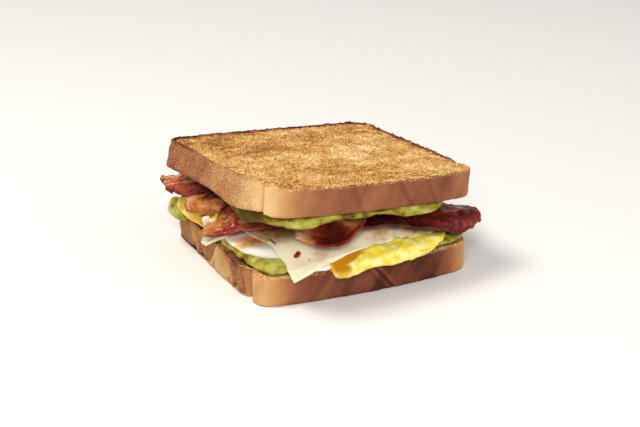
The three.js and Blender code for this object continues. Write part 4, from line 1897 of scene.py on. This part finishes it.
RASHERS = (
    Rasher(
        "bacon_left", 401, ruffle=0.6, wave=27, phase=2.2, bubbly=0.7,
        stops=(
            (-60.4, 2.2, 20.8, 6.4, 16), (-56.4, -3.8, 24.6, 7.8, 22), (-48, -8, 28.8, 8.6, 17),
            (-38, -4.2, 29.8, 9.3, 7), (-22, 0, 30, 9, 0), (0, 3, 29.8, 8, 0),
        ),
        # The pale fat patch at 0.4 near its left edge is a painted highlight, and the dark patch at its far
        # end is painted shade under the upper slice.
        fat_and_highlight=(
            Spot(0.0, 0, 0.22, 3, 1.1), Spot(0.22, 0.2, 0.1, 0.9, 0.5), Spot(0.4, 0.72, 0.06, 0.12, 0.45),
            Spot(0.38, 0.1, 0.12, 0.6, 0.22), Spot(0.37, -0.95, 0.14, 0.35, -0.9),
        ),
        char_and_shade=(Spot(0.9, 0, 0.24, 3, 0.5),),
        lean=(Spot(0.4, 0.2, 0.15, 0.7, 0.42), Spot(0.4, -0.95, 0.14, 0.3, 0.12)),
        swells=(
            Spot(0.3, 0.1, 0.03, 0.8, -1.0), Spot(0.42, 0.1, 0.1, 0.5, 0.9),
            Spot(0.08, 0.3, 0.05, 0.5, 0.8),
        ),
    ),
    Rasher(
        "bacon_middle", 411, ruffle=0.4, wave=24, phase=0.4,
        stops=(
            (-49, -13, 29, 5.5, 22), (-44, -16, 29.2, 6.5, 22), (-37, -18.5, 29.8, 6.5, 16),
            (-28, -18.5, 30.4, 6.5, 6), (-12, -15, 30.2, 7, 0), (10, -12, 30, 7, 0),
        ),
        # The pale fat patch at its start is a painted highlight, and its dark patch is painted shade where
        # it runs under the mash.
        fat_and_highlight=(Spot(0.06, -0.3, 0.08, 0.25, 0.75),),
        char_and_shade=(Spot(0.62, -0.8, 0.12, 1.0, 0.4),),
        lean=(Spot(0.06, -0.4, 0.14, 0.9, 0.5), Spot(0.3, -0.5, 0.22, 0.9, 0.6)),
    ),
    Rasher(
        "bacon_right", 421, streaks=((0.35, 0.06),), ruffle=0.7, wave=23, phase=1.1, fold_at=-0.1,
        bubbly=1.7,
        stops=(
            (-6, -34, 28.6, 9, 0, 0), (8, -36, 29, 10, 2, 0), (21, -37, 28.4, 10.5, 2, 8),
            (33, -38, 27.6, 11.5, 2, 40), (44, -38, 27, 13, 0, 78), (53, -37, 26, 12.3, -7, 82),
            (60.3, -36, 24.9, 9, -10, 70),
        ),
        # The thin pale fat line at 0.8 is a painted highlight on the ridge. The dark patch at 0.35 and the
        # darker lean along its near edge are painted shade under the mash.
        fat_and_highlight=(Spot(0.8, -0.14, 0.2, 0.05, 0.7), Spot(0.9, 0.6, 0.1, 0.12, 0.3)),
        char_and_shade=(Spot(0.35, -0.4, 0.25, 1.2, 0.6), Spot(0.8, 0.5, 0.2, 0.8, 0.3)),
        lean=(
            Spot(0.82, -0.5, 0.25, 0.35, -0.2), Spot(0.3, -0.95, 0.3, 0.3, -0.35),
            Spot(0.8, 0.5, 0.3, 0.6, 0.15),
        ),
        swells=(
            Spot(0.74, -0.55, 0.03, 0.5, -0.9), Spot(0.86, -0.5, 0.04, 0.5, -0.8),
            Spot(0.62, 0.3, 0.05, 0.4, 0.8),
        ),
    ),
    Rasher(
        "bacon_front", 441, ruffle=0.5, wave=17, phase=1.4, cup=24, bubbly=1.5,
        stops=(
            (-31.5, -37, 30.4, 6, 26), (-28.5, -39.5, 30.6, 8, 30), (-23.5, -42.3, 29.8, 9.5, 30),
            (-17, -43, 28.6, 9.5, 26), (-10.5, -41, 31, 9.5, 22), (-4, -36, 33.2, 9, 12),
            (6, -28, 32, 8.5, 0),
        ),
        # The pale fat patch at 0.66 is a painted highlight, the bright lean over the flap at its start is
        # painted light, and the dark patches in the hollow at 0.48 and at its far end are painted shade.
        fat_and_highlight=(
            Spot(0.1, -0.3, 0.15, 1.3, 1.1), Spot(0.27, -0.8, 0.07, 0.3, 0.8),
            Spot(0.5, -0.95, 0.14, 0.4, -0.8), Spot(0.66, -0.2, 0.04, 0.5, 0.7),
            Spot(0.74, -0.6, 0.06, 0.8, 0.6),
        ),
        char_and_shade=(
            Spot(0.48, -0.25, 0.13, 0.6, 0.75), Spot(0.97, 0, 0.13, 2, 0.6),
            Spot(0.59, -0.3, 0.03, 0.5, 0.3), Spot(0.22, 0.5, 0.1, 0.4, 0.2),
        ),
        lean=(
            Spot(0.46, -0.95, 0.12, 0.2, 0.12), Spot(0.3, -0.95, 0.3, 0.25, -0.2),
            Spot(0.72, -0.3, 0.1, 0.9, 0.5), Spot(0.13, 0, 0.15, 2, 0.9),
        ),
        swells=(
            Spot(0.14, -0.55, 0.12, 0.4, 1.9), Spot(0.45, -0.25, 0.11, 0.45, -2.0),
            Spot(0.7, -0.35, 0.06, 0.7, 1.7), Spot(0.57, -0.5, 0.04, 0.5, -0.8),
            Spot(0.27, -0.4, 0.035, 0.4, -0.9),
        ),
    ),
    Rasher(
        "bacon_hanging", 461, streaks=((-0.55, 0.3), (0.5, 0.16)), ruffle=0.9, wave=33, bubbly=0.25,
        stops=(
            (-60.5, 4.5, 27.8, 7.6, 30), (-59.2, 6, 31.4, 9.3, 16), (-53.5, 8.5, 33.3, 10.3, -5),
            (-41, 13.5, 31.4, 11.5, -9), (-28, 23, 31, 11, 0), (-8, 33, 31.4, 11, 0),
            (18, 37, 30.6, 10, 0), (44, 36, 26.6, 9.5, 0),
        ),
        # The bright lean patch near its top edge at 0.14 is a painted highlight on the fold; at 0.42 the
        # fat is taken out and darkened into painted shade in the hollow.
        fat_and_highlight=(Spot(0.08, 0, 0.14, 2, 1.1), Spot(0.42, 0, 0.12, 3, -1.3)),
        char_and_shade=(Spot(0.42, 0, 0.12, 3, 0.4), Spot(0.08, -0.3, 0.12, 0.8, 0.1)),
        lean=(Spot(0.14, 0.8, 0.1, 0.3, 0.5), Spot(0.42, 0, 0.12, 3, -0.1)),
    ),
    Rasher(
        "bacon_rear", 481, streaks=((-0.1, 0.07), (0.3, 0.06), (0.75, 0.2)), ruffle=0.9, wave=30, phase=0.6,
        stops=(
            (-67.5, 34.2, 32.8, 6.5, 6), (-63.5, 34, 33.2, 8.4, 8), (-57, 30.5, 34.8, 11, 14),
            (-47, 24.5, 36.2, 12, 14), (-28, 23, 36, 12, 0), (0, 22, 33.2, 12.5, 0),
            (26, 23, 30.6, 12.5, 0), (48, 24, 28, 11.5, 0),
        ),
        fat_and_highlight=(Spot(0.1, 0.8, 0.08, 0.5, 0.3), Spot(0.24, -0.1, 0.12, 0.12, 0.5)),
        # The dark patch at 0.46 is painted shade where it runs under the upper slice.
        char_and_shade=(
            Spot(0.0, 0.2, 0.02, 1, 0.5), Spot(0.1, -0.95, 0.1, 0.3, 0.5),
            Spot(0.46, -0.5, 0.12, 0.9, 0.6),
        ),
        lean=(Spot(0.14, 0.1, 0.2, 1.2, 0.5), Spot(0.3, -0.6, 0.1, 0.5, 0.2)),
    ),
)


# ---- Overlaps between neighbours ----
TUCKED = (
    ("cheese_left_torn", "egg_white_cooked", -1),
    ("yolk_front_soft", "egg_white_cooked", 1),
    ("avocado_lower_mash", "egg_white_cooked", -1),
    ("avocado_lower_mash", "yolk_front_soft", -1),
    ("avocado_upper_mash", "bread_upper_toast", -1),
)


def tree_of(name: str) -> BVHTree:
    """Makes a piece's faces ready to be searched.

    Args:
        name: The piece's name.

    Returns:
        Its faces as a tree.
    """
    mesh = bpy.data.objects[name].data
    faces = [tuple(face.vertices) for face in mesh.polygons]
    return BVHTree.FromPolygons([vertex.co.copy() for vertex in mesh.vertices], faces)


def tuck(giving: str, other: str, way: float, depth: float = 0.4, room: float = 0.15) -> int:
    """Moves the points of a piece that stand deep in a neighbour out of it, straight up or down.

    Args:
        giving: The name of the piece that gives way.
        other: The name of its neighbour.
        way: -1 where it goes down, under the neighbour, and 1 where it goes up, on top.
        depth: How deep a point has to be before it moves, in mm.
        room: The space that is left between the two, in mm.

    Returns:
        How many points were moved.
    """
    search, least, off_skin = 6 * MM, 0.3 * MM, 0.01 * MM
    own_tree, other_tree = tree_of(giving), tree_of(other)
    out = Vector((0, 0, way))
    mesh = bpy.data.objects[giving].data
    moved = {}
    for vertex in mesh.vertices:
        place = vertex.co
        near, normal, _, gap = other_tree.find_nearest(place, search)
        deep = near is not None and gap >= depth * MM and (place - near).dot(normal) < 0
        if vertex.normal.z * way >= 0 or not deep:
            continue
        free = other_tree.ray_cast(place, out)[3]
        behind = other_tree.ray_cast(place, -out)[3]
        own = own_tree.ray_cast(place + off_skin * out, out)[3]
        if free is None or behind is None or own is None:
            continue
        moved[vertex.index] = place.z + way * max(0.0, min(free + room * MM, own - least))
    for index, height in moved.items():
        mesh.vertices[index].co.z = height
    mesh.update()
    return len(moved)


# ---- Scattered bits ----
@dataclass(frozen=True)
class Bits:
    """Small grains, each a rough pebble, joined into one piece.

    Attributes:
        name: The piece's name.
        slot: The record's material slot.
        seed: Makes them fall otherwise.
        paint: The name of their material.
        finish: How they look.
        squares: How many squares each has across.
        flatness: Their height for each unit of width.
    """

    name: str
    slot: str
    seed: int
    paint: str
    finish: SpeckFinish
    squares: int = 4
    flatness: float = 0.8

    def build(self, frame: Frame, grains: Array) -> None:
        """Makes the bits.

        Args:
            frame: Where they go.
            grains: The x, y, z and radius of each, four to a row.
        """
        marks = np.linspace(0, 1, self.squares + 1)
        disc = smooth_outline([(math.cos(a), math.sin(a)) for a in np.linspace(0, math.tau, 9)[:-1]])
        flat = patch(disc, marks, marks)
        height = close_edge(np.sqrt(np.clip(1 - (flat**2).sum(-1), 0, 1)))
        pebble = closed_skin(np.dstack([flat, height]), np.dstack([flat, -height]))
        rng = np.random.default_rng(self.seed)
        points, faces = [], []
        for i, (*place, size) in enumerate(grains):
            rough = 1 + 0.45 * grain(pebble.points + 9 * i, 0.9, self.seed, 2)
            turn = np.array(Euler(rng.uniform(-0.5, 0.5, 3) * np.array([1, 1, 6])).to_matrix())
            scale = size * np.array([1, rng.uniform(0.6, 1.0), self.flatness])
            points.append((pebble.points * rough[:, None] * scale) @ turn.T + place)
            faces.append(pebble.faces + i * len(pebble.points))
        skin = Skin(np.concatenate(points), np.concatenate(faces))
        frame.put(skin, self.name, self.finish.material(self.paint), self.slot)


@dataclass(frozen=True)
class Garnish:
    """The small bits that lie loose on the sandwich.

    Attributes:
        flakes: Red pepper flakes on the cheese, each as x, y and radius.
        herb: A sliver of dried herb at the cheese's edge, as the x, y and radius of its parts.
        lumps: Bits of egg white beside the runny yolk, each as x, y, z and radius.
        specks: Dark specks on the mash that bulges out at the left, each as x, y, z and radius.
        crumbs: How many crumbs lie on the upper slice.
    """

    flakes: Table = ((-34.3, -43.8, 1.6), (-33, -43.2, 1.2), (-29.6, -47.2, 0.4))
    herb: Table = (
        (-41.5, -30.2, 0.4), (-41.4, -31, 0.5), (-41.35, -31.8, 0.55), (-41.3, -32.6, 0.55),
        (-41.25, -33.4, 0.5), (-41.2, -34.2, 0.5), (-41.1, -35, 0.45), (-41, -35.8, 0.35),
    )
    lumps: Table = ((-58.4, 3.4, 24.6, 2.5), (-56.8, 1.9, 24.4, 1.9))
    specks: Table = ((-62.1, 37.8, 20.3, 0.8),)
    crumbs: int = 260

    @staticmethod
    def on_cheese(found: Table) -> Array:
        """Lays bits on the cheese slice.

        Args:
            found: The x, y and radius of each.

        Returns:
            The x, y, z and radius of each.
        """
        x, y, size = np.array(found).T
        thin = CHEESE_THINNING * np.exp(-np.abs(Cheese().inner(x, y)[0]) / 3)
        return np.column_stack([x, y, Stack.cheese_floor(x, y) + CHEESE_THICK - thin + 0.15, size])

    def build(self, frame: Frame, upper: Skin) -> None:
        """Makes them all.

        Args:
            frame: Where they go.
            upper: The skin of the upper slice.
        """
        pepper = SpeckFinish("#a5231a", "#6e120e", 0.35)
        flakes = Bits("pepper_flakes", "cheese", 51, "pepper", pepper, squares=8, flatness=0.5)
        flakes.build(frame, self.on_cheese(self.flakes))
        dried = SpeckFinish("#7a5420", "#43290f", 0.5)
        herb = Bits("herb_sliver", "cheese", 56, "dried_herb", dried, squares=8, flatness=0.5)
        herb.build(frame, self.on_cheese(self.herb))
        white = SpeckFinish("#fbf4de", "#f3e3b4", 0.35)
        Bits("egg_bits", "egg_white", 52, "egg_bits", white, squares=14).build(frame, np.array(self.lumps))
        dark = SpeckFinish("#33361a", "#22230f", 0.5)
        Bits("avocado_specks", "avocado", 53, "avocado_speck", dark).build(frame, np.array(self.specks))
        rng = np.random.default_rng(54)
        high = np.flatnonzero((upper.tones["crust"] < 0.1) & (upper.normals()[:, 2] > 0.6))
        chosen = upper.points[rng.choice(high, self.crumbs, replace=False)]
        crumbs = np.column_stack([chosen, rng.uniform(0.18, 0.45, self.crumbs)])
        browned = SpeckFinish("#e0b46c", "#a86a30", 0.85)
        Bits("crumbs", "toast", 55, "crumb", browned).build(frame, crumbs)


# ---- Studio ----
@dataclass(frozen=True)
class Studio:
    """A pale table, soft lights and the camera.

    Attributes:
        azimuth: Where the camera stands round the sandwich, in degrees from its front.
        elevation: How high it looks down from, in degrees.
        distance: How far it stands from what it looks at, in metres.
        aim: What it looks at, in mm in the sandwich's own frame.
        lens: Its focal length in mm.
        table: The side of the table in metres.
        sky: How bright the sky is.
    """

    azimuth: float = -25.1
    elevation: float = 22.0
    distance: float = 0.8113
    aim: Place = (0.97, 7.03, 16.78)
    lens: float = 95.6
    table: float = 4.0
    sky: float = 0.36

    @staticmethod
    def placed(name: str, data: bpy.types.ID) -> bpy.types.Object:
        """Puts a thing in the scene.

        Args:
            name: Its name.
            data: Its mesh, light or camera.

        Returns:
            The thing.
        """
        made = bpy.data.objects.new(name, data)
        bpy.context.scene.collection.objects.link(made)
        return made

    def camera(self, frame: Frame) -> None:
        """Makes the camera and looks through it.

        Args:
            frame: Where the sandwich is.
        """
        turn, rise = math.radians(self.azimuth), math.radians(self.elevation)
        back = Vector((math.sin(turn) * math.cos(rise), -math.cos(turn) * math.cos(rise), math.sin(rise)))
        data = bpy.data.cameras.new("camera")
        data.lens = self.lens
        data.clip_start = 0.01
        camera = self.placed("camera", data)
        camera.location = Vector(self.aim) * MM + frame.origin + back * self.distance
        camera.rotation_euler = back.to_track_quat("Z", "Y").to_euler()
        bpy.context.scene.camera = camera

    def lamp(self, name: str, place: Place, size: float, power: float, tone: str) -> None:
        """Hangs a square soft light that faces the sandwich.

        Args:
            name: Its name.
            place: Where it hangs, in metres.
            size: Its side in metres.
            power: Its power in watts.
            tone: Its colour.
        """
        data = bpy.data.lights.new(name, "AREA")
        data.size = size
        data.energy = power
        data.color = tint(tone)[:3]
        lamp = self.placed(name, data)
        lamp.location = place
        lamp.rotation_euler = (Vector(place) - Vector((0, 0, 0.03))).to_track_quat("Z", "Y").to_euler()

    def build(self, frame: Frame) -> None:
        """Sets up the table, the lights, the sky and the camera.

        Args:
            frame: Where the sandwich is.
        """
        half = self.table / 2
        mesh = bpy.data.meshes.new("table")
        corners = [(-half, -half, 0), (half, -half, 0), (half, half, 0), (-half, half, 0)]
        mesh.from_pydata(corners, [], [(0, 1, 2, 3)])
        mesh.materials.append(FloorFinish().material("table_paint"))
        table = self.placed("table", mesh)
        table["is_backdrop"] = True
        self.lamp("key", (-0.5, 0.2, 1.05), 0.4, 8.9, "#fffaf2")
        self.lamp("fill", (0.6, -0.95, 0.7), 0.8, 3.8, "#ffffff")
        self.lamp("front", (-0.55, -0.95, 0.75), 0.35, 7.3, "#ffffff")
        world = bpy.data.worlds.new("sky")
        world.use_nodes = True
        background = world.node_tree.nodes["Background"]
        background.inputs["Color"].default_value = (1, 1, 1, 1)
        background.inputs["Strength"].default_value = self.sky
        scene = bpy.context.scene
        scene.world = world
        scene.view_settings.view_transform = "Standard"
        self.camera(frame)


def main() -> None:
    """Builds the sandwich from the bottom up, then the studio."""
    logging.basicConfig(level=logging.INFO, format="%(message)s")
    frame = Frame()
    toast = ToastFinish().material("toast")
    mash = MashFinish().material("avocado_mash")
    white = EggFinish().material("egg_white")
    yolk = YolkFinish().material("yolk")
    cheddar = CheeseFinish().material("cheese")
    bacon = BaconFinish().material("bacon")
    upper, egg, cheese = UPPER.skin(), FriedEgg(), Cheese()
    pieces = [
        (LOWER.skin(), "bread_lower", "toast", toast, "toast"),
        (upper, "bread_upper", "toast", toast, "toast"),
        (LOWER_MASH.skin(), "avocado_lower", "mash", mash, "avocado"),
        (UPPER_MASH.skin(), "avocado_upper", "mash", mash, "avocado"),
        (egg.white_skin(), "egg_white", "cooked", white, "egg_white"),
        (egg.front_skin(), "yolk_front", "soft", yolk, "yolk"),
        (egg.left_skin(), "yolk_left", "soft", yolk, "yolk"),
        (cheese.slice_skin(), "cheese_top", "slice", cheddar, "cheese"),
        (cheese.torn_skin(), "cheese_left", "torn", cheddar, "cheese"),
        *((rasher.skin(), rasher.node, "crisp", bacon, "bacon") for rasher in RASHERS),
    ]
    for skin, node, state, material, slot in pieces:
        frame.put(skin, f"{node}_{state}", material, slot, node)
    for giving, other, way in TUCKED:
        log.info("%s clear of %s: %d points moved", giving, other, tuck(giving, other, way))
    Garnish().build(frame, upper)
    Studio().build(frame)


if __name__ == "__main__":
    main()
